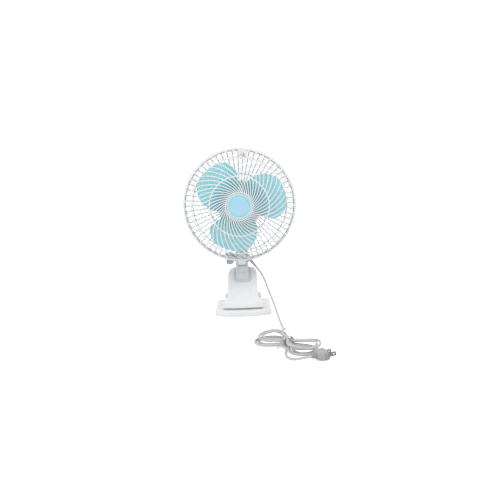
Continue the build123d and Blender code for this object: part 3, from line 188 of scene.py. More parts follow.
def mix_colours(tree, factor, first, second):
    """Colour output of a mix; each of its inputs is a socket or a constant."""
    node = add_node(tree, "ShaderNodeMix", data_type="RGBA")
    for value, socket in ((factor, node.inputs[0]), (first, node.inputs[6]), (second, node.inputs[7])):
        feed(tree, value, socket)
    return node.outputs[2]


def node_group(name, inputs, outputs, fill):
    """A group by name, filled on first use. Inputs are names, kinds and defaults, outputs names and kinds."""
    group = bpy.data.node_groups.get(name)
    if group:
        return group
    group = bpy.data.node_groups.new(name, "ShaderNodeTree")
    for label, kind, *default in inputs:
        socket = group.interface.new_socket(name=label, in_out="INPUT", socket_type="NodeSocket" + kind)
        if default:
            socket.default_value = default[0]
    for label, kind in outputs:
        group.interface.new_socket(name=label, in_out="OUTPUT", socket_type="NodeSocket" + kind)
    entry = group.nodes.new("NodeGroupInput")
    leave = group.nodes.new("NodeGroupOutput")
    for label, socket in fill(group, entry.outputs).items():
        link(group, socket, leave.inputs[label])
    return group


def moulded_skin_group():
    """Fine surface of moulded plastic: a height, a roughness and a slow change of shade."""
    def fill(tree, given):
        flow = noise(tree, given["Vector"], 24.0, 3.0)
        spread = calculate(tree, "MULTIPLY", calculate(tree, "SUBTRACT", flow, 0.5), given["Spread"])
        return {
            "Height": noise(tree, given["Vector"], given["Grain size"], 2.0),
            "Roughness": calculate(tree, "ADD", spread, given["Roughness"], use_clamp=True),
            "Shade": flow,
        }

    inputs = (("Vector", "Vector"), ("Grain size", "Float", 900.0), ("Roughness", "Float", 0.3),
              ("Spread", "Float", 0.08))
    outputs = (("Height", "Float"), ("Roughness", "Float"), ("Shade", "Float"))
    return node_group("Moulded skin", inputs, outputs, fill)


def edge_wear_and_highlight_group():
    """Mask of the edges of a piece, broken up by noise, where rubbed edges and a painted highlight go."""
    def fill(tree, given):
        rounded = add_node(tree, "ShaderNodeBevel", samples=4, Radius=given["Radius"]).outputs["Normal"]
        flat = tree.nodes.new("ShaderNodeNewGeometry").outputs["Normal"]
        facing = calculate(tree, "DOT_PRODUCT", rounded, flat, kind="VectorMath")
        edge = ramp(tree, facing, 0.995, 0.80)
        worn_and_highlight = calculate(tree, "MULTIPLY", edge, noise(tree, given["Vector"], 220.0, 4.0))
        mask = calculate(tree, "MULTIPLY", worn_and_highlight, given["Amount"], use_clamp=True)
        return {"Mask": mask, "Normal": rounded}

    inputs = (("Vector", "Vector"), ("Radius", "Float", 0.0008), ("Amount", "Float", 0.5))
    return node_group("Edge rubbing and highlight", inputs, (("Mask", "Float"), ("Normal", "Vector")), fill)


def dust_group():
    """Fine dust that settles on what faces up."""
    def fill(tree, given):
        normal = tree.nodes.new("ShaderNodeNewGeometry").outputs["Normal"]
        upward = ramp(tree, add_node(tree, "ShaderNodeSeparateXYZ", Vector=normal).outputs["Z"], 0.4, 1.0)
        settled = calculate(tree, "MULTIPLY", upward, noise(tree, given["Vector"], 600.0, 5.0))
        return {"Mask": calculate(tree, "MULTIPLY", settled, given["Amount"], use_clamp=True)}

    return node_group("Settled dust", (("Vector", "Vector"), ("Amount", "Float", 0.2)), (("Mask", "Float"),), fill)


# ---------------------------------------------------------------- materials
def object_place(tree):
    return tree.nodes.new("ShaderNodeTexCoord").outputs["Object"]


def shade_of(colour, share):
    return (colour[0] * share, colour[1] * share, colour[2] * share, 1.0)


def skinned(name, colour, shades, skin, wear_and_highlight, strength, depth):
    """A material with a fine skin, lighter edges and a bump; the edges are partly rubbed, partly a painted highlight.

    Its shades are shares of its colour: where the skin is dark, where it is light, and on the edges, which are rubbed
    and painted lighter as a highlight.
    """
    material = bpy.data.materials.new(name)
    material.use_nodes = True
    tree = material.node_tree
    shader = tree.nodes["Principled BSDF"]
    place = object_place(tree)
    surface = add_node(tree, "ShaderNodeGroup", node_tree=moulded_skin_group(), Vector=place, **skin)
    edge = add_node(tree, "ShaderNodeGroup", node_tree=edge_wear_and_highlight_group(), Vector=place, **wear_and_highlight)
    # the edge share, above 1, paints the edges lighter: partly rubbing, partly a painted highlight
    dark, light, rubbed_and_highlight = (shade_of(colour, share) for share in shades)
    base = mix_colours(tree, edge.outputs["Mask"], mix_colours(tree, surface.outputs["Shade"], dark, light), rubbed_and_highlight)
    link(tree, base, shader.inputs["Base Color"])
    link(tree, surface.outputs["Roughness"], shader.inputs["Roughness"])
    relief = add_node(
        tree, "ShaderNodeBump", Strength=strength, Distance=depth,
        Normal=edge.outputs["Normal"], Height=surface.outputs["Height"],
    )
    link(tree, relief.outputs["Normal"], shader.inputs["Normal"])
    return material


def paint(material, factor, colour):
    """Lays a colour over a material's own by a factor."""
    tree = material.node_tree
    base = tree.nodes["Principled BSDF"].inputs["Base Color"]
    link(tree, mix_colours(tree, factor, base.links[0].from_socket, colour), base)


def moulded(name, colour, roughness=0.3, grain=900.0, bump=0.00001, coat=0.0, wear_and_highlight=0.4, dust=0.12):
    """Moulded plastic with its skin, slightly rubbed edges that also carry a painted highlight, and a little dust."""
    material = bpy.data.materials.get(name)
    if material:
        return material
    skin = {"Grain_size": grain, "Roughness": roughness, "Spread": 0.12}
    material = skinned(name, colour, (0.975, 1.02, 1.16), skin, {"Amount": wear_and_highlight}, 0.35, bump)
    tree = material.node_tree
    settled = add_node(tree, "ShaderNodeGroup", node_tree=dust_group(), Vector=object_place(tree), Amount=dust)
    paint(material, settled.outputs["Mask"], DUST)
    inputs = tree.nodes["Principled BSDF"].inputs
    inputs["Coat Weight"].default_value = coat
    inputs["Coat Roughness"].default_value = 0.12
    inputs["IOR"].default_value = 1.49
    return material


def metal(name, colour, roughness=0.3, brush=0.0):
    """Plated or ground metal with fine marks, and edges painted lighter, partly as rubbing, partly as a painted
    highlight.
    """
    material = bpy.data.materials.get(name)
    if material:
        return material
    skin = {"Grain_size": 1500.0, "Roughness": roughness, "Spread": 0.2}
    wear_and_highlight = {"Radius": 0.0003, "Amount": 0.8}
    material = skinned(name, colour, (0.85, 1.1, 1.3), skin, wear_and_highlight, 0.3, 0.00001 + brush)
    material.node_tree.nodes["Principled BSDF"].inputs["Metallic"].default_value = 1.0
    return material


def cord_plastic():
    return moulded("Cord sheath", colours().cord, roughness=0.42, grain=2200.0, wear_and_highlight=0.0, dust=0.1)


def rubber():
    return moulded("Grey rubber", colours().rubber, roughness=0.75, grain=1600.0, bump=0.00003, wear_and_highlight=0.2, dust=0.3)


def fork_plastic():
    return moulded("Fork plastic", colours().fork, roughness=0.32, coat=0.2)


def steel():
    return metal("Plated steel", colours().steel, roughness=0.28)


def zoned(material, near, far, colour):
    """Turns a material to another colour between two distances from the fan's axis, from the far one inwards."""
    tree = material.node_tree
    centred = calculate(
        tree, "SUBTRACT", object_place(tree), (0.0, 0.0, AXIS_HEIGHT), kind="VectorMath", out="Vector"
    )
    flat = calculate(tree, "MULTIPLY", centred, (1.0, 0.0, 1.0), kind="VectorMath", out="Vector")
    reach = calculate(tree, "LENGTH", flat, kind="VectorMath")
    paint(material, ramp(tree, reach, far, near), tuple(colour))


def badge_material():
    """Badge: a bluer disc in the middle, a cyan rim and a pale edge."""
    material = moulded("Badge lacquer", colours().white, roughness=0.2, coat=0.5, wear_and_highlight=0.1, dust=0.0)
    zoned(material, 0.0221, 0.0223, colours().badge_rim)
    zoned(material, 0.0182, 0.0185, colours().badge_middle)
    return material


def blade_material():
    """Blades: light aqua, with painted shade, a deeper teal, near the hub."""
    material = moulded("Blade plastic", colours().aqua, roughness=0.24, coat=0.15, wear_and_highlight=0.2, dust=0.0)
    # painted shade: the blades turn deeper teal from 59 mm off the axis in to 26 mm, all round the hub
    zoned(material, 0.026, 0.059, colours().aqua_painted_shade)
    return material


# ---------------------------------------------------------------- mesh helpers
def sharpen(bm, degrees=32.0):
    """Shades a mesh smooth, with hard edges where faces meet at a larger angle."""
    bmesh.ops.recalc_face_normals(bm, faces=bm.faces)
    limit = math.radians(degrees)
    for face in bm.faces:
        face.smooth = True
    for edge in bm.edges:
        edge.smooth = edge.calc_face_angle(0.0) < limit


def add_object(name, data):
    thing = bpy.data.objects.new(name, data)
    bpy.context.scene.collection.objects.link(thing)
    return thing


def drop(thing):
    """Removes a working object with its mesh or curve."""
    data = thing.data
    bpy.data.objects.remove(thing)
    (bpy.data.meshes if isinstance(data, bpy.types.Mesh) else bpy.data.curves).remove(data)


def new_mesh(name, bm):
    """Turns a bmesh into a mesh."""
    mesh = bpy.data.meshes.new(name)
    bm.to_mesh(mesh)
    bm.free()
    return mesh


def finished_mesh(thing):
    """Mesh of an object with its modifiers or its curve worked out."""
    return bpy.data.meshes.new_from_object(thing.evaluated_get(bpy.context.evaluated_depsgraph_get()))


def add_mesh(bm, mesh):
    """Adds a working mesh to a bmesh and removes it."""
    bm.from_mesh(mesh)
    bpy.data.meshes.remove(mesh)


def verts_of(made):
    return [v for v in made["geom"] if isinstance(v, bmesh.types.BMVert)]


def round_off(bm, geom, radius, segments, affect="VERTICES"):
    """Rounds corners or edges by a radius in millimetres."""
    bmesh.ops.bevel(bm, geom=geom, offset=radius * MM, segments=segments, profile=0.5, affect=affect, material=-1)


def make_piece(name, bm, material, body):
    sharpen(bm)
    piece = add_object(name, new_mesh(name, bm))
    piece.data.materials.append(material)
    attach(piece, body)
    return piece


def finish_node(name, material):
    """Gives a carried-over node its finish."""
    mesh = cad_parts[name].data
    mesh.materials.clear()
    mesh.materials.append(material)


def placed(origin, axis, across):
    """Matrix that puts a piece's own Z on an axis and its own X towards another direction."""
    z = Vector(axis).normalized()
    y = z.cross(Vector(across)).normalized()
    turn = Matrix((y.cross(z), y, z)).transposed().to_4x4()
    return Matrix.Translation(Vector(origin)) @ turn


def spun(profile, steps, place):
    """A turned solid: (height, radius) points in millimetres spun round Z, then put in place."""
    bm = bmesh.new()
    verts = [bm.verts.new((radius * MM, 0.0, height * MM)) for height, radius in profile]
    edges = [bm.edges.new(pair) for pair in zip(verts, verts[1:])]
    bmesh.ops.spin(
        bm, geom=verts + edges, cent=(0, 0, 0), axis=(0, 0, 1), angle=2 * math.pi, steps=steps, use_merge=True
    )
    bmesh.ops.remove_doubles(bm, verts=bm.verts[:], dist=1e-6)
    bmesh.ops.transform(bm, matrix=place, verts=bm.verts[:])
    return bm


def rounded_outline(bm, width, height, corner):
    """A level rounded rectangle as one face, in millimetres."""
    made = bmesh.ops.create_grid(bm, x_segments=1, y_segments=1, size=0.5)
    bmesh.ops.scale(bm, vec=(width * MM, height * MM, 1.0), verts=made["verts"])
    round_off(bm, made["verts"], corner, 6)


def lofted(bm, sections):
    """Closes a solid from the bmesh's one face through sections, each a matrix from the face's own place."""
    loop = bm.edges[:]
    bmesh.ops.transform(bm, matrix=sections[0], verts=bm.verts[:])
    for last, this in zip(sections, sections[1:]):
        made = bmesh.ops.extrude_edge_only(bm, edges=loop)
        loop = [e for e in made["geom"] if isinstance(e, bmesh.types.BMEdge)]
        bmesh.ops.transform(bm, matrix=this @ last.inverted(), verts=verts_of(made))
    bmesh.ops.edgeloop_fill(bm, edges=loop)


def section(middle, heading, radius, radius_up=None):
    """Matrix of a section: its middle and radii in millimetres, square to a heading in the XZ plane or along Z."""
    turn = Vector(heading).to_track_quat("Z", "Y").to_matrix().to_4x4()
    size = Matrix.Diagonal((radius, radius if radius_up is None else radius_up, 1.0, 1.0))
    return Matrix.Translation(Vector(middle) * MM) @ turn @ size


def carved(bm, tool):
    """The first solid with the second one cut out of it."""
    holders = []
    for shape in (bm, tool):
        bmesh.ops.recalc_face_normals(shape, faces=shape.faces[:])
        holders.append(add_object("carving", new_mesh("carving", shape)))
    step = holders[0].modifiers.new("Carve", "BOOLEAN")
    step.operation = "DIFFERENCE"
    step.solver = "EXACT"
    step.use_self = True
    step.object = holders[1]
    made = bmesh.new()
    add_mesh(made, finished_mesh(holders[0]))
    for holder in holders:
        drop(holder)
    if len(made.faces) < 12:
        raise RuntimeError("the carving left no solid")
    return made


def cross_recess(place, span, width, depth):
    """Tool for a cross recess, in millimetres, sunk from the place's origin."""
    tool = bmesh.new()
    for size in ((span, width), (width, span)):
        block = Matrix.Diagonal((size[0] * MM, size[1] * MM, 2 * depth * MM, 1.0))
        bmesh.ops.create_cube(tool, size=1.0, matrix=place @ block)
    return tool


def merged_copy(name):
    """A node's mesh as a bmesh of its own, with its loose triangles merged into flat faces."""
    bm = bmesh.new()
    bm.from_mesh(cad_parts[name].data)
    bmesh.ops.remove_doubles(bm, verts=bm.verts[:], dist=1e-6)
    bmesh.ops.dissolve_limit(bm, angle_limit=math.radians(3), verts=bm.verts[:], edges=bm.edges[:])
    return bm


def smooth_tube(name, points, radius, material, resolution=8, sides=6):
    """A round tube on a smooth curve through control points."""
    curve = bpy.data.curves.new(name, "CURVE")
    curve.dimensions = "3D"
    spline = curve.splines.new("NURBS")
    spline.points.add(len(points) - 1)
    for target, point in zip(spline.points, points):
        target.co = (point[0], point[1], point[2], 1.0)
    spline.order_u = 3
    spline.use_endpoint_u = True
    curve.resolution_u = resolution
    curve.bevel_depth = radius
    curve.bevel_resolution = sides
    curve.use_fill_caps = True
    curve.materials.append(material)
    return add_object(name, curve)


def solid_tube(name, tube):
    """The tube's finished mesh as a piece of its own, in the tube's stead."""
    made = finished_mesh(tube)
    made.name = name
    drop(tube)
    for face in made.polygons:
        face.use_smooth = True
    return add_object(name, made)


# ---------------------------------------------------------------- cord
LEAD_POINTS = (
    (0.02694, 0.0090, 0.08497),
    (0.03926, 0.0090, 0.06921),
    (0.0455, -0.0090, 0.0540),
    (0.0495, -0.0280, 0.0440),
    (0.0565, -0.0550, 0.0290),
    (0.0625, -0.0910, 0.0135),
    (0.0670, -0.1280, 0.0034),
    (0.0696, -0.1640, 0.0025),
    (0.0706, -0.1960, 0.0154),
    (0.0630, -0.2180, 0.0179),
)
WAIST_CROSSING = ((0.002, -0.0012), (-0.0075, 0.0007), (-0.0141, 0.0054))
TAIL_POINTS = ((0.053, -0.0445), (0.0325, -0.0396))
TAIL_WAIST = (0.0131, -0.0138)
TOP_LAYER = 2.17          # the last strand crosses the waist on top of both layers
TURN_POINTS = 16          # control points of one turn of the hank
WAIST_SHARE = 0.26        # where they lie, as shares of a lobe's length, of its end and of its width
CORNER_SHARE = 0.41
END_SHARE = 0.42
NEAR_LIFT = 0.35          # share of the upper lift on the near side of a lobe
HANK_MIDDLE = Vector((0.070, -0.246, 0.0))
HANK_TURN = math.radians(-48.0)
PLUG_TURN = math.radians(25.0)
PLUG_ENTRY = Vector((0.0991, -0.3187, 0.00705))
PLUG_LENGTH = 24.0        # in millimetres, from the cord's entry to the plug's face
PIN_SPACING = 12.7
PLUG_OUT = Vector((math.cos(PLUG_TURN), math.sin(PLUG_TURN), 0.0))
HANK_ALONG = Vector((math.cos(HANK_TURN), math.sin(HANK_TURN), 0.0))
HANK_ACROSS = Vector((-math.sin(HANK_TURN), math.cos(HANK_TURN), 0.0))


def on_hank(u, v, layer, lift=0.0):
    """Point u along and v across the hank, its layer counted from the table."""
    sizes = cord_sizes()
    height = sizes.radius + layer * sizes.layer_step + lift
    return HANK_MIDDLE + HANK_ALONG * u + HANK_ACROSS * v + Vector((0.0, 0.0, height))


def hank_points():
    """Control points round the hank, which spirals in and out again."""
    sizes = cord_sizes()
    count = TURN_POINTS * sizes.turns
    points = []
    for k in range(count):
        share = (k + 0.5) / TURN_POINTS
        layer = 0
        if k > count // 2 - 2:
            share = sizes.turns - share
            layer = 1
        if k > count - 4:
            layer = TOP_LAYER
        end = sizes.half_length - sizes.end_step * share
        wide = sizes.half_width - sizes.side_step * share
        waist = sizes.waist - sizes.waist_step * share
        lobe = sizes.lobe - sizes.lobe_step * share
        near = WAIST_SHARE * lobe
        corner = CORNER_SHARE * (end - lobe)
        quarter = (
            (near, waist, sizes.waist_lift),
            (lobe - near, wide, 0.0),
            (lobe + corner, wide, 0.0),
            (end, END_SHARE * wide, 0.0),
        )
        mirrored = ((-1, -1, quarter), (-1, 1, quarter[::-1]), (1, 1, quarter), (1, -1, quarter[::-1]))
        turn = [(along * u, across * v, rise) for along, across, part in mirrored for u, v, rise in part]
        u, v, rise = turn[k % TURN_POINTS]
        reach = abs(u) / sizes.half_length
        if layer == 0:
            points.append(on_hank(u, v + sizes.fan_under * reach, layer, rise))
        else:
            spring_up = sizes.lift_over * reach * (NEAR_LIFT + (1 - NEAR_LIFT) * max(0.0, v / wide))
            points.append(on_hank(u, v + sizes.fan_over * reach, layer, rise + spring_up))
    return points


def cord_points():
    """The whole route, from the gland to the plug."""
    lift = cord_sizes().waist_lift
    lead = [Vector(p) for p in LEAD_POINTS]
    over = [on_hank(u, v, TOP_LAYER, lift) for u, v in WAIST_CROSSING]
    tail = [PLUG_ENTRY, PLUG_ENTRY - PLUG_OUT * 0.012]
    tail += [on_hank(u, v, 0) for u, v in TAIL_POINTS] + [on_hank(*TAIL_WAIST, 0, lift)]
    return lead + over[::-1] + hank_points()[::-1] + tail[::-1]


class FAN_OT_cord(bpy.types.Operator):
    """Lay the mains cord from the gland to the plug, with its tied hank"""
    bl_idname = "clip_fan.cord"
    bl_label = "Cord"

    def execute(self, context):
        sizes = cord_sizes()
        points = cord_points()
        line = smooth_tube("cord_line", points, 0.0, cord_plastic())
        path = finished_mesh(line)
        drop(line)
        bpy.data.meshes.remove(path)
        cord = solid_tube("mains_cord", smooth_tube("cord_tube", points, sizes.radius, cord_plastic()))
        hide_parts("cord_lead", "cord_hank")
        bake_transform(cord)
        riders = [make_plug_shell(), make_plug_plate(), make_plug_blades(), make_tie(), make_tie_ends()]
        return {"FINISHED"}


def plug_place(along=0.0):
    """Matrix of the plug: its own Z out of the plug, X level across it, this many millimetres past the cord's entry."""
    return placed(PLUG_ENTRY + PLUG_OUT * (along * MM), PLUG_OUT, (-PLUG_OUT.y, PLUG_OUT.x, 0.0))


def plug_solid(stations):
    """Solid with the plug's rounded section; a station is a height, a width and a depth in millimetres."""
    bm = bmesh.new()
    rounded_outline(bm, 1000.0, 1000.0, 260.0)
    lofted(bm, [section((0, 0, z), (0, 0, 1), width * MM, depth * MM) for z, width, depth in stations])
    return bm


def make_plug_shell():
    """Moulded body with a shoulder, finger grooves and a ribbed tapering collar."""
    collar = [(0.0, 0.0), (0.0, 2.6)]
    for ring in range(4):
        start = 0.6 + 1.75 * ring
        wide = 2.9 + 0.3 * ring
        collar += [(start, wide), (start + 1.0, wide + 0.12), (start + 1.2, wide - 0.4), (start + 1.6, wide - 0.35)]
    collar += [(7.6, 4.2), (9.0, 4.2), (9.0, 0.0)]
    bm = spun(collar, 32, Matrix())
    stations = ((7.7, 11.4, 8.8), (8.1, 13.0, 10.2), (9.6, 16.6, 11.8), (12.2, 21.4, 13.3), (15.0, 23.8, 14.0))
    stations += tuple(
        (15.6 + 2.2 * i + step, width, depth)
        for i in range(3)
        for step, width, depth in ((0.0, 24.0, 14.0), (0.5, 22.6, 13.4), (1.2, 22.6, 13.4), (1.7, 24.0, 14.0))
    )
    stations += ((22.0, 24.0, 14.0), (22.2, 23.4, 13.4))
    add_mesh(bm, new_mesh("plug_body_work", plug_solid(stations)))
    bmesh.ops.transform(bm, matrix=plug_place(), verts=bm.verts[:])
    grey = moulded("Plug plastic", colours().plug, roughness=0.4, grain=1800.0, wear_and_highlight=0.3, dust=0.1)
    piece = make_piece("plug_shell", bm, grey, "lower_jaw")
    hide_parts("plug_body")
    return piece


def make_plug_plate():
    """Front of the plug, with the raised plate round its pins; the plate's dark brown is painted shade of the pin face.
    """
    bm = plug_solid((
        (-1.9, 22.6, 12.6), (-1.8, 23.6, 13.6), (-1.6, 23.9, 13.9), (-0.5, 23.9, 13.9), (-0.1, 23.3, 13.3),
        (0.0, 22.2, 12.2), (0.0, 20.2, 10.2), (0.3, 19.9, 9.9), (0.4, 19.4, 9.4),
    ))
    bmesh.ops.transform(bm, matrix=plug_place(PLUG_LENGTH), verts=bm.verts[:])
    shaded_brown = moulded("Plug face painted shade", colours().plug_face_painted_shade, roughness=0.5, grain=1800.0, wear_and_highlight=0.3, dust=0.1)
    return make_piece("plug_plate", bm, shaded_brown, "lower_jaw")


def make_plug_blades():
    """Two flat pins with rounded tips and a hole each."""
    bm = bmesh.new()
    for side in (-1, 1):
        blade = bmesh.new()
        rounded_outline(blade, 14.8, 6.3, 1.6)
        lofted(blade, [
            Matrix.Translation((0, 0, z * MM)) @ Matrix.Diagonal((length, width, 1, 1))
            for z, length, width in ((-0.75, 0.97, 0.93), (-0.5, 1, 1), (0.5, 1, 1), (0.75, 0.97, 0.93))
        ])
        hole = bmesh.new()
        bmesh.ops.create_cone(
            hole, cap_ends=True, segments=20, radius1=1.5 * MM, radius2=1.5 * MM, depth=4 * MM,
            matrix=Matrix.Translation((3.6 * MM, 0, 0)),
        )
        blade = carved(blade, hole)
        turn = placed((side * PIN_SPACING / 2 * MM, 0, 6.6 * MM), (1, 0, 0), (0, 0, 1))
        bmesh.ops.transform(blade, matrix=plug_place(PLUG_LENGTH) @ turn, verts=blade.verts[:])
        add_mesh(bm, new_mesh("blade_work", blade))
    brass = metal("Plug brass", colours().brass, roughness=0.3)
    piece = make_piece("plug_blades", bm, brass, "lower_jaw")
    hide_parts("plug_pins")
    return piece


# the tie's sizes are in millimetres
TIE_HALF_WIDTH = 11.5
TIE_BOTTOM = 1.7
TIE_SHOULDER = 10.8
TIE_CREST = (3.8, 16.2)   # half the width of its top, and the top's height
TIE_BAND = 6.0
TIE_FILM = 0.7
TIE_END_START = (-9.2, 13.4)
TIE_END_REACH = 15.5
TIE_END_DROP = 11.6


def tie_material():
    return moulded("Tie film", shade_of(colours().cord, 0.9), roughness=0.35, grain=3000.0, wear_and_highlight=0.1, dust=0.05)


def make_tie():
    """Flat tie pulled round the waist of the hank."""
    bm = bmesh.new()
    half, crest, top = TIE_HALF_WIDTH, *TIE_CREST
    outline = ((-half, TIE_BOTTOM), (half, TIE_BOTTOM), (half, TIE_SHOULDER), (crest, top), (-crest, top),
               (-half, TIE_SHOULDER))
    verts = [bm.verts.new((v * MM, z * MM, -TIE_BAND / 2 * MM)) for v, z in outline]
    bm.faces.new(verts)
    round_off(bm, verts, 2.2, 5)
    strip = bmesh.ops.extrude_edge_only(bm, edges=bm.edges[:])
    bmesh.ops.translate(bm, vec=(0, 0, TIE_BAND * MM), verts=verts_of(strip))
    bmesh.ops.delete(bm, geom=[f for f in bm.faces if len(f.verts) > 4], context="FACES_ONLY")
    bmesh.ops.recalc_face_normals(bm, faces=bm.faces[:])
    bmesh.ops.solidify(bm, geom=bm.faces[:], thickness=-TIE_FILM * MM)
    bmesh.ops.transform(bm, matrix=placed(HANK_MIDDLE, HANK_ALONG, HANK_ACROSS), verts=bm.verts[:])
    piece = make_piece("twist_tie", bm, tie_material(), "lower_jaw")
    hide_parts("cord_tie")
    return piece


def make_tie_ends():
    """The two ends of the tie, twisted together and laid down beside the hank."""
    bm = bmesh.new()
    across, height = TIE_END_START
    for strand in (0, 1):
        points = []
        for k in range(17):
            share = k / 16
            angle = math.radians(90 * k + 180 * strand)
            spread = 0.62 * MM * (1.0 + 1.6 * max(0.0, share - 0.8) * 5)
            middle = HANK_MIDDLE + HANK_ACROSS * ((across - TIE_END_REACH * share) * MM)
            middle += HANK_ALONG * (2.5 * share * MM)
            middle.z = (height - TIE_END_DROP * share * share) * MM
            rise = max(0.0, math.sin(angle)) * spread
            points.append(middle + HANK_ALONG * (math.cos(angle) * spread) + Vector((0, 0, rise)))
        tube = solid_tube("tie_end", smooth_tube("tie_end_line", points, 0.55 * MM, tie_material(), 5, 3))
        bm.from_mesh(tube.data)
        drop(tube)
    return make_piece("twist_tie_ends", bm, tie_material(), "lower_jaw")


# ---------------------------------------------------------------- small pieces
# their sizes are in millimetres
GLAND_FACE = (12.0, 9.0, 98.5)
GLAND_BEND = 52.0
GLAND_BEND_RADIUS = 6.5
GLAND_FLANGE = 1.2
GLAND_TAPER = 14.0


class FAN_OT_gland(bpy.types.Operator):
    """Make the ribbed tapering sleeve where the cord leaves the neck"""
    bl_idname = "clip_fan.gland"
    bl_label = "Cord sleeve"

    def execute(self, context):
        x, y, z = GLAND_FACE
        flange = ((0.0, 3.6), (0.25, 3.9), (1.0, 3.9), (GLAND_FLANGE, 3.5), (GLAND_FLANGE, 3.15))
        stations = [((x + step, y, z), 0.0, radius) for step, radius in flange]
        for k in range(1, 9):
            bend = math.radians(GLAND_BEND) * k / 8
            middle = (x + GLAND_FLANGE + GLAND_BEND_RADIUS * math.sin(bend), y,
                      z - GLAND_BEND_RADIUS * (1 - math.cos(bend)))
            stations.append((middle, bend, 3.1 if k % 2 else 2.85))
        elbow = Vector(stations[-1][0])
        out = Vector((math.cos(bend), 0.0, -math.sin(bend)))
        for ring in range(9):
            start = 0.5 + 1.45 * ring
            wide = 3.1 - 0.085 * ring
            for step, radius in ((0.0, wide - 0.3), (0.3, wide), (0.85, wide - 0.03), (1.15, wide - 0.33)):
                stations.append((elbow + out * (start + step), bend, radius))
        stations.append((elbow + out * (GLAND_TAPER - 0.2), bend, 2.2))
        stations.append((elbow + out * GLAND_TAPER, bend, 2.05))
        bm = bmesh.new()
        bmesh.ops.create_circle(bm, cap_ends=True, segments=28, radius=1.0)
        lofted(bm, [
            section(middle, (math.cos(turn), 0.0, -math.sin(turn)), radius * MM) for middle, turn, radius in stations
        ])
        piece = make_piece("cord_sleeve", bm, cord_plastic(), "clip_body")
        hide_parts("cord_gland")
        return {"FINISHED"}


BADGE_RADIUS = 23.4
BADGE_EDGE = 1.8          # thickness at its edge
BADGE_RISE = 2.55         # how far its middle stands above its edge
BADGE_GROOVE = 18.5       # radius of the groove round its disc


class FAN_OT_badge(bpy.types.Operator):
    """Make the domed badge in the middle of the front guard"""
    bl_idname = "clip_fan.badge"
    bl_label = "Badge"

    def execute(self, context):
        def dome(radius):
            return BADGE_EDGE + BADGE_RISE * (1 - (radius / BADGE_RADIUS) ** 2)

        edge = dome(BADGE_GROOVE)
        profile = [(0.0, 0.0), (0.0, 22.9), (0.4, 23.3), (1.5, 23.3), (1.9, 23.1), (2.15, 22.5)]
        profile += [(dome(radius), radius) for radius in (21.5, 20.4, 19.4, 18.9)]
        profile += [(edge - 0.45, 18.75), (edge - 0.5, 18.5), (edge - 0.45, 18.3)]
        profile += [(dome(radius), radius) for radius in (18.1, 17.6, 15.0, 12.0, 9.0, 6.0, 3.0, 0.0)]
        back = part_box("grille_badge")[1][1]
        place = placed((0.0, back, AXIS_HEIGHT), (0, -1, 0), (1, 0, 0))
        piece = make_piece("badge_cap", spun(profile, 72, place), badge_material(), "head")
        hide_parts("grille_badge")
        return {"FINISHED"}


def make_screw(name, node, body, profile, steps, place, recess):
    """A turned screw with a cross recess, which has a span, a width and a depth."""
    piece = make_piece(name, carved(spun(profile, steps, place), cross_recess(place, *recess)), steel(), body)
    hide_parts(node)


class FAN_OT_screws(bpy.types.Operator):
    """Make the guard's lock screw and the tilt screw, with cross recesses"""
    bl_idname = "clip_fan.screws"
    bl_label = "Screws"

    def execute(self, context):
        low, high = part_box("grille_lock_screw")
        place = placed(((low[0] + high[0]) / 2, low[1], (low[2] + high[2]) / 2), (0, -1, 0), (1, 0, 0))
        profile = [(-14.0, 0.0), (-14.0, 0.9), (-13.2, 1.6), (-2.0, 1.6), (-2.0, 3.3), (-1.8, 3.4),
                   (-1.1, 3.35), (-0.5, 2.8), (-0.1, 1.9), (0.0, 0.9), (0.0, 0.0)]
        make_screw("lock_screw", "grille_lock_screw", "head", profile, 32, place, (3.6, 0.8, 1.1))

        low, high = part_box("tilt_bolt")
        place = placed((high[0], 0.0, (low[2] + high[2]) / 2), (1, 0, 0), (0, 0, 1))
        reach = (high[0] - low[0]) / MM
        profile = [(-reach, 0.0), (-reach, 2.4), (0.6 - reach, 3.0), (-3.4, 3.0), (-3.4, 5.8), (-3.2, 6.0),
                   (-1.9, 5.9), (-0.9, 5.1), (-0.2, 3.6), (0.0, 1.8), (0.0, 0.0)]
        make_screw("tilt_screw", "tilt_bolt", "clip_body", profile, 40, place, (6.2, 1.2, 1.9))
        return {"FINISHED"}


TILT_HEIGHT = 105.0
STEM_LUG_RADIUS = 18.0
SADDLE_SIZE = (15.2, 25.6, 20.4)
SADDLE_MIDDLE = 87.0


class FAN_OT_saddle(bpy.types.Operator):
    """Fill the foot of the fork's slot with a saddle hollowed to the round end of the stem"""
    bl_idname = "clip_fan.saddle"
    bl_label = "Fork saddle"

    def execute(self, context):
        block = bmesh.new()
        size = Matrix.Diagonal([side * MM for side in SADDLE_SIZE] + [1.0])
        bmesh.ops.create_cube(block, size=1.0, matrix=Matrix.Translation((0.0, 0.0, SADDLE_MIDDLE * MM)) @ size)
        hollow = bmesh.new()
        reach = (STEM_LUG_RADIUS + 1.2) * MM
        bmesh.ops.create_cone(
            hollow, cap_ends=True, segments=128, radius1=reach, radius2=reach, depth=2 * SADDLE_SIZE[0] * MM,
            matrix=placed((0.0, 0.0, TILT_HEIGHT * MM), (1, 0, 0), (0, 0, 1)),
        )
        bm = carved(block, hollow)
        horns = [
            e for e in bm.edges
            if all(abs(v.co.y) > (SADDLE_SIZE[1] / 2 - 0.1) * MM and v.co.z > SADDLE_MIDDLE * MM for v in e.verts)
            and abs(e.verts[0].co.x - e.verts[1].co.x) > SADDLE_SIZE[0] / 2 * MM
        ]
        round_off(bm, horns, 0.7, 4, "EDGES")
        make_piece("fork_saddle", bm, fork_plastic(), "clip_body")
        return {"FINISHED"}


SPRING_COIL = 7.6
SPRING_START = math.radians(39.0 - 90.0)
SPRING_STEPS = 54
SPRING_STEP = math.radians(22.5)
SPRING_HALF = 4.894
SPRING_GRIP_LEG = 43.0
SPRING_BODY_LEG = 45.5
WIRE_RADIUS = 1.1
PIN = (12.0, 25.0)


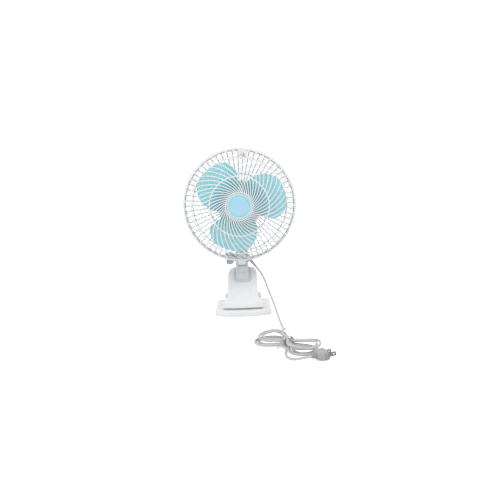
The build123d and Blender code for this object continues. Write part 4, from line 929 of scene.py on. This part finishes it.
class FAN_OT_spring(bpy.types.Operator):
    """Wind the clip's torsion spring round the hinge pin"""
    bl_idname = "clip_fan.spring"
    bl_label = "Spring"

    def execute(self, context):
        def on_coil(angle, radius, x):
            return Vector((x, PIN[0] + radius * math.cos(angle), PIN[1] + radius * math.sin(angle)))

        def heading(angle):
            return Vector((0.0, math.sin(angle), -math.cos(angle)))

        last = SPRING_START - SPRING_STEPS * SPRING_STEP
        first_touch = on_coil(SPRING_START, SPRING_COIL, -SPRING_HALF)
        last_touch = on_coil(last, SPRING_COIL, SPRING_HALF)
        reach = SPRING_COIL * math.tan(SPRING_STEP / 2)
        points = [first_touch - heading(SPRING_START) * SPRING_GRIP_LEG, first_touch - heading(SPRING_START) * reach]
        for k in range(SPRING_STEPS):
            angle = SPRING_START - (k + 0.5) * SPRING_STEP
            x = SPRING_HALF * (2 * (k + 0.5) / SPRING_STEPS - 1)
            points.append(on_coil(angle, SPRING_COIL / math.cos(SPRING_STEP / 2), x))
        points += [last_touch + heading(last) * reach, last_touch + heading(last) * SPRING_BODY_LEG]
        tube = smooth_tube("spring_line", [p * MM for p in points], WIRE_RADIUS * MM, steel(), 5, 4)
        spring = solid_tube("clamp_spring", tube)
        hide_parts("clip_spring")
        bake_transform(spring)
        return {"FINISHED"}


TEETH = 5
TOOTH_DEPTH = 0.7


def grip_strip(name, node, working):
    """Rubber strip in a jaw, with a row of teeth along it on its working side: 1 is up, -1 is down."""
    low, high = (Vector(c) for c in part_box(node))
    seat, top = (low.z, high.z) if working > 0 else (high.z, low.z)
    pitch = (high.y - low.y) / TEETH
    depth = TOOTH_DEPTH * MM * working
    outline = [(low.y, seat)]
    for k in range(TEETH):
        start = low.y + k * pitch
        outline += [(start + 0.12 * pitch, top - depth), (start + 0.3 * pitch, top), (start + 0.7 * pitch, top),
                    (start + 0.88 * pitch, top - depth)]
    outline.append((high.y, seat))
    bm = bmesh.new()
    verts = [bm.verts.new((low.x, y, z)) for y, z in outline]
    side = bm.faces.new(verts)
    made = bmesh.ops.extrude_face_region(bm, geom=[side])
    bmesh.ops.translate(bm, vec=(high.x - low.x, 0, 0), verts=verts_of(made))
    bmesh.ops.recalc_face_normals(bm, faces=bm.faces[:])
    ends = [e for e in bm.edges if abs(e.verts[0].co.x - e.verts[1].co.x) < 1e-7]
    round_off(bm, ends, 0.25, 2, "EDGES")
    piece = make_piece(name, bm, rubber(), "clip_body" if working < 0 else "lower_jaw")
    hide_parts(node)


LIP_FRONT = -50.5         # lip of the clip's upper jaw
LIP_BOTTOM = 15.4
LIP_HALF_WIDTH = 39.5


def make_lip_shade_seal():
    """Thin grey seal of the upper strip, which follows the outline of the lip all round its front; its grey in the gap
    under the lip is painted shade, drawing the shadow line there.
    """
    low, high = (Vector(c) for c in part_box("upper_jaw_pad"))
    half = LIP_HALF_WIDTH - 0.7
    top = (LIP_BOTTOM - 0.02) * MM
    bm = bmesh.new()
    outline = ((-half, high.y / MM), (half, high.y / MM), (half, LIP_FRONT + 2.6), (half * 0.5, LIP_FRONT + 1.2),
               (0.0, LIP_FRONT + 0.7), (-half * 0.5, LIP_FRONT + 1.2), (-half, LIP_FRONT + 2.6))
    verts = [bm.verts.new((x * MM, y * MM, top)) for x, y in outline]
    bm.faces.new(verts)
    round_off(bm, [verts[2], verts[6]], 3.0, 5)
    moved = verts_of(bmesh.ops.extrude_face_region(bm, geom=bm.faces[:]))
    bmesh.ops.translate(bm, vec=(0.0, 0.0, low.z - top + 0.1 * MM), verts=moved)
    bmesh.ops.scale(bm, vec=(0.985, 0.93, 1.0), space=Matrix.Translation((0.0, -high.y, 0.0)), verts=moved)
    make_piece("upper_lip_seal", bm, rubber(), "clip_body")


class FAN_OT_rubbers(bpy.types.Operator):
    """Make the toothed strips in the jaws and the mat under the foot"""
    bl_idname = "clip_fan.rubbers"
    bl_label = "Rubber strips and mat"

    def execute(self, context):
        grip_strip("upper_grip_strip", "upper_jaw_pad", -1)
        # painted shade: the grey seal in the gap under the lip draws its shadow line
        make_lip_shade_seal()
        grip_strip("lower_grip_strip", "lower_jaw_pad", 1)
        bm = merged_copy("foot_pad")
        under = [f for f in bm.faces if f.normal.z < -0.9]
        low, high = (Vector(c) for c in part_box("foot_pad"))
        middle = Matrix.Translation(-(low + high) / 2)
        for share, rise in ((0.993, 0.0), (0.94, 0.0), (0.99, 0.3), (0.96, 0.0), (0.99, -0.3)):
            made = bmesh.ops.extrude_face_region(bm, geom=under)
            bmesh.ops.delete(bm, geom=under, context="FACES_ONLY")
            under = [f for f in made["geom"] if isinstance(f, bmesh.types.BMFace)]
            verts = verts_of(made)
            bmesh.ops.scale(bm, vec=(share, share, 1.0), space=middle, verts=verts)
            bmesh.ops.translate(bm, vec=(0.0, 0.0, rise * MM), verts=verts)
        piece = make_piece("foot_mat", bm, rubber(), "lower_jaw")
        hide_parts("foot_pad")
        return {"FINISHED"}


class FAN_OT_finishes(bpy.types.Operator):
    """Give the moulded and metal pieces their finishes"""
    bl_idname = "clip_fan.finishes"
    bl_label = "Finishes"

    def execute(self, context):
        white = moulded("White moulded plastic", colours().white, roughness=0.28, coat=0.3)
        teal = moulded("Knob plastic", colours().teal, roughness=0.25, coat=0.4)
        laminations = metal("Laminations", (0.25, 0.26, 0.28), roughness=0.5)
        alloy = metal("Cast alloy", (0.6, 0.61, 0.62), roughness=0.45)
        bronze = metal("Bush bronze", (0.55, 0.36, 0.16), roughness=0.4)
        finishes = {
            white: ("front_grille", "rear_grille", "grille_nut", "motor_housing", "rear_cover",
                    "clip_body", "lower_jaw", "foot_cover", "pin_caps"),
            blade_material(): ("impeller",),
            moulded("Spinner plastic", colours().badge_rim, roughness=0.25, coat=0.3): ("spinner_nut",),
            teal: ("tilt_knob", "speed_knob"),
            fork_plastic(): ("neck_fork",),
            steel(): ("shaft", "motor_screws", "tilt_washers", "hinge_pin"),
            laminations: ("rotor_core", "stator_core"),
            metal("Enamelled wire", colours().copper, roughness=0.35, brush=0.0001): ("motor_coil",),
            moulded("Bobbin nylon", (0.75, 0.74, 0.68), roughness=0.5): ("coil_bobbin",),
            alloy: ("front_bracket", "rear_bracket"),
            bronze: ("front_bush", "rear_bush"),
            moulded("Switch plastic", (0.02, 0.02, 0.022), roughness=0.5): ("switch_body",),
        }
        for material, names in finishes.items():
            for name in names:
                finish_node(name, material)
        return {"FINISHED"}


# ---------------------------------------------------------------- stage
def seen_directly(tree):
    """1 for what the camera sees, also in mirrors and through glass."""
    path = tree.nodes.new("ShaderNodeLightPath").outputs
    seen = calculate(tree, "MAXIMUM", path["Is Camera Ray"], path["Is Glossy Ray"])
    return calculate(tree, "MAXIMUM", seen, path["Is Transmission Ray"])


def paper_material():
    """Pale floor with plain white added where the camera sees it, so that the ground reads as white."""
    paper = bpy.data.materials.new("Floor paper")
    paper.use_nodes = True
    tree = paper.node_tree
    shader = tree.nodes["Principled BSDF"]
    shader.inputs["Base Color"].default_value = (0.80, 0.80, 0.80, 1.0)
    shader.inputs["Roughness"].default_value = 0.9
    shader.inputs["Specular IOR Level"].default_value = 0.1
    level = calculate(tree, "MULTIPLY", seen_directly(tree), 0.55)
    glow = add_node(tree, "ShaderNodeEmission", Strength=level)
    both = tree.nodes.new("ShaderNodeAddShader")
    link(tree, shader.outputs[0], both.inputs[0])
    link(tree, glow.outputs[0], both.inputs[1])
    link(tree, both.outputs[0], tree.nodes["Material Output"].inputs["Surface"])
    return paper


def make_floor():
    bm = bmesh.new()
    bmesh.ops.create_grid(bm, x_segments=1, y_segments=1, size=8.0)
    floor = add_object("stage_floor", new_mesh("stage_floor", bm))
    floor.data.materials.append(paper_material())


def make_world(strength):
    """Even light from all round, which the camera sees as white."""
    world = bpy.data.worlds.new("Studio")
    bpy.context.scene.world = world
    world.use_nodes = True
    tree = world.node_tree
    sky = tree.nodes["Background"]
    sky.inputs["Color"].default_value = (1.0, 1.0, 1.0, 1.0)
    level = ramp(tree, seen_directly(tree), 0.0, 1.0, To_Min=strength, To_Max=1.0)
    link(tree, level, sky.inputs["Strength"])


def make_light(name, power, size, place, aim):
    lamp = bpy.data.lights.new(name, "AREA")
    lamp.energy = power
    lamp.shape = "SQUARE"
    lamp.size = size
    holder = add_object(name, lamp)
    holder.location = place
    holder.rotation_euler = (Vector(aim) - Vector(place)).to_track_quat("-Z", "Y").to_euler()


def make_camera(stage):
    lens = bpy.data.cameras.new("camera")
    lens.lens = stage.lens
    lens.sensor_width = 36.0
    lens.clip_start = 0.01
    camera = add_object("camera", lens)
    camera.location = (stage.camera_side, -stage.camera_distance, stage.camera_height)
    level_view = Matrix.Rotation(math.pi / 2 - stage.pitch, 3, "X")
    leaning = Matrix.Rotation(-stage.roll, 3, "Z")
    camera.rotation_euler = (level_view @ leaning).to_euler()
    bpy.context.scene.camera = camera


class FAN_OT_stage(bpy.types.Operator):
    """Set the floor, the soft lights and the camera"""
    bl_idname = "clip_fan.stage"
    bl_label = "Stage"

    def execute(self, context):
        stage = stage_settings()
        make_floor()
        make_world(stage.sky)
        make_light("key_light", stage.key_power, 1.2, (0.9, -1.2, 1.5), (0.0, 0.0, 0.15))
        make_light("fill_light", stage.fill_power, 1.4, (-1.3, -0.8, 0.7), (0.0, 0.0, 0.15))
        make_light("rim_light", stage.rim_power, 1.2, (0.2, 1.3, 1.3), (0.0, 0.0, 0.2))
        make_camera(stage)
        context.scene.view_settings.view_transform = "Standard"
        return {"FINISHED"}


class FAN_PT_panel(bpy.types.Panel):
    """Lists the fan's pieces and settings"""
    bl_label = "Clip Fan"
    bl_idname = "FAN_PT_panel"
    bl_space_type = "VIEW_3D"
    bl_region_type = "UI"
    bl_category = "Clip Fan"

    def draw(self, context):
        layout = self.layout
        for operator in OPERATORS:
            layout.operator(operator.bl_idname)
        for group in (colours(), cord_sizes(), stage_settings()):
            box = layout.box()
            for name in group.__annotations__:
                box.prop(group, name)


GROUPS = (FanColours, CordSizes, StageSettings)
OPERATORS = (
    FAN_OT_stage,
    FAN_OT_cord,
    FAN_OT_gland,
    FAN_OT_badge,
    FAN_OT_screws,
    FAN_OT_saddle,
    FAN_OT_spring,
    FAN_OT_rubbers,
    FAN_OT_finishes,
)


def register():
    for item in GROUPS + OPERATORS + (FAN_PT_panel,):
        bpy.utils.register_class(item)
    bpy.types.Scene.clip_fan_colours = PointerProperty(type=FanColours)
    bpy.types.Scene.clip_fan_cord = PointerProperty(type=CordSizes)
    bpy.types.Scene.clip_fan_stage = PointerProperty(type=StageSettings)


def unregister():
    del bpy.types.Scene.clip_fan_stage
    del bpy.types.Scene.clip_fan_cord
    del bpy.types.Scene.clip_fan_colours
    for item in reversed(GROUPS + OPERATORS + (FAN_PT_panel,)):
        bpy.utils.unregister_class(item)


def main():
    register()
    for thing in [o for o in bpy.data.objects if o.type in {"CAMERA", "LIGHT"}]:
        bpy.data.objects.remove(thing)
    for operator in OPERATORS:
        group, name = operator.bl_idname.split(".")
        getattr(getattr(bpy.ops, group), name)()


if __name__ == "__main__":
    main()
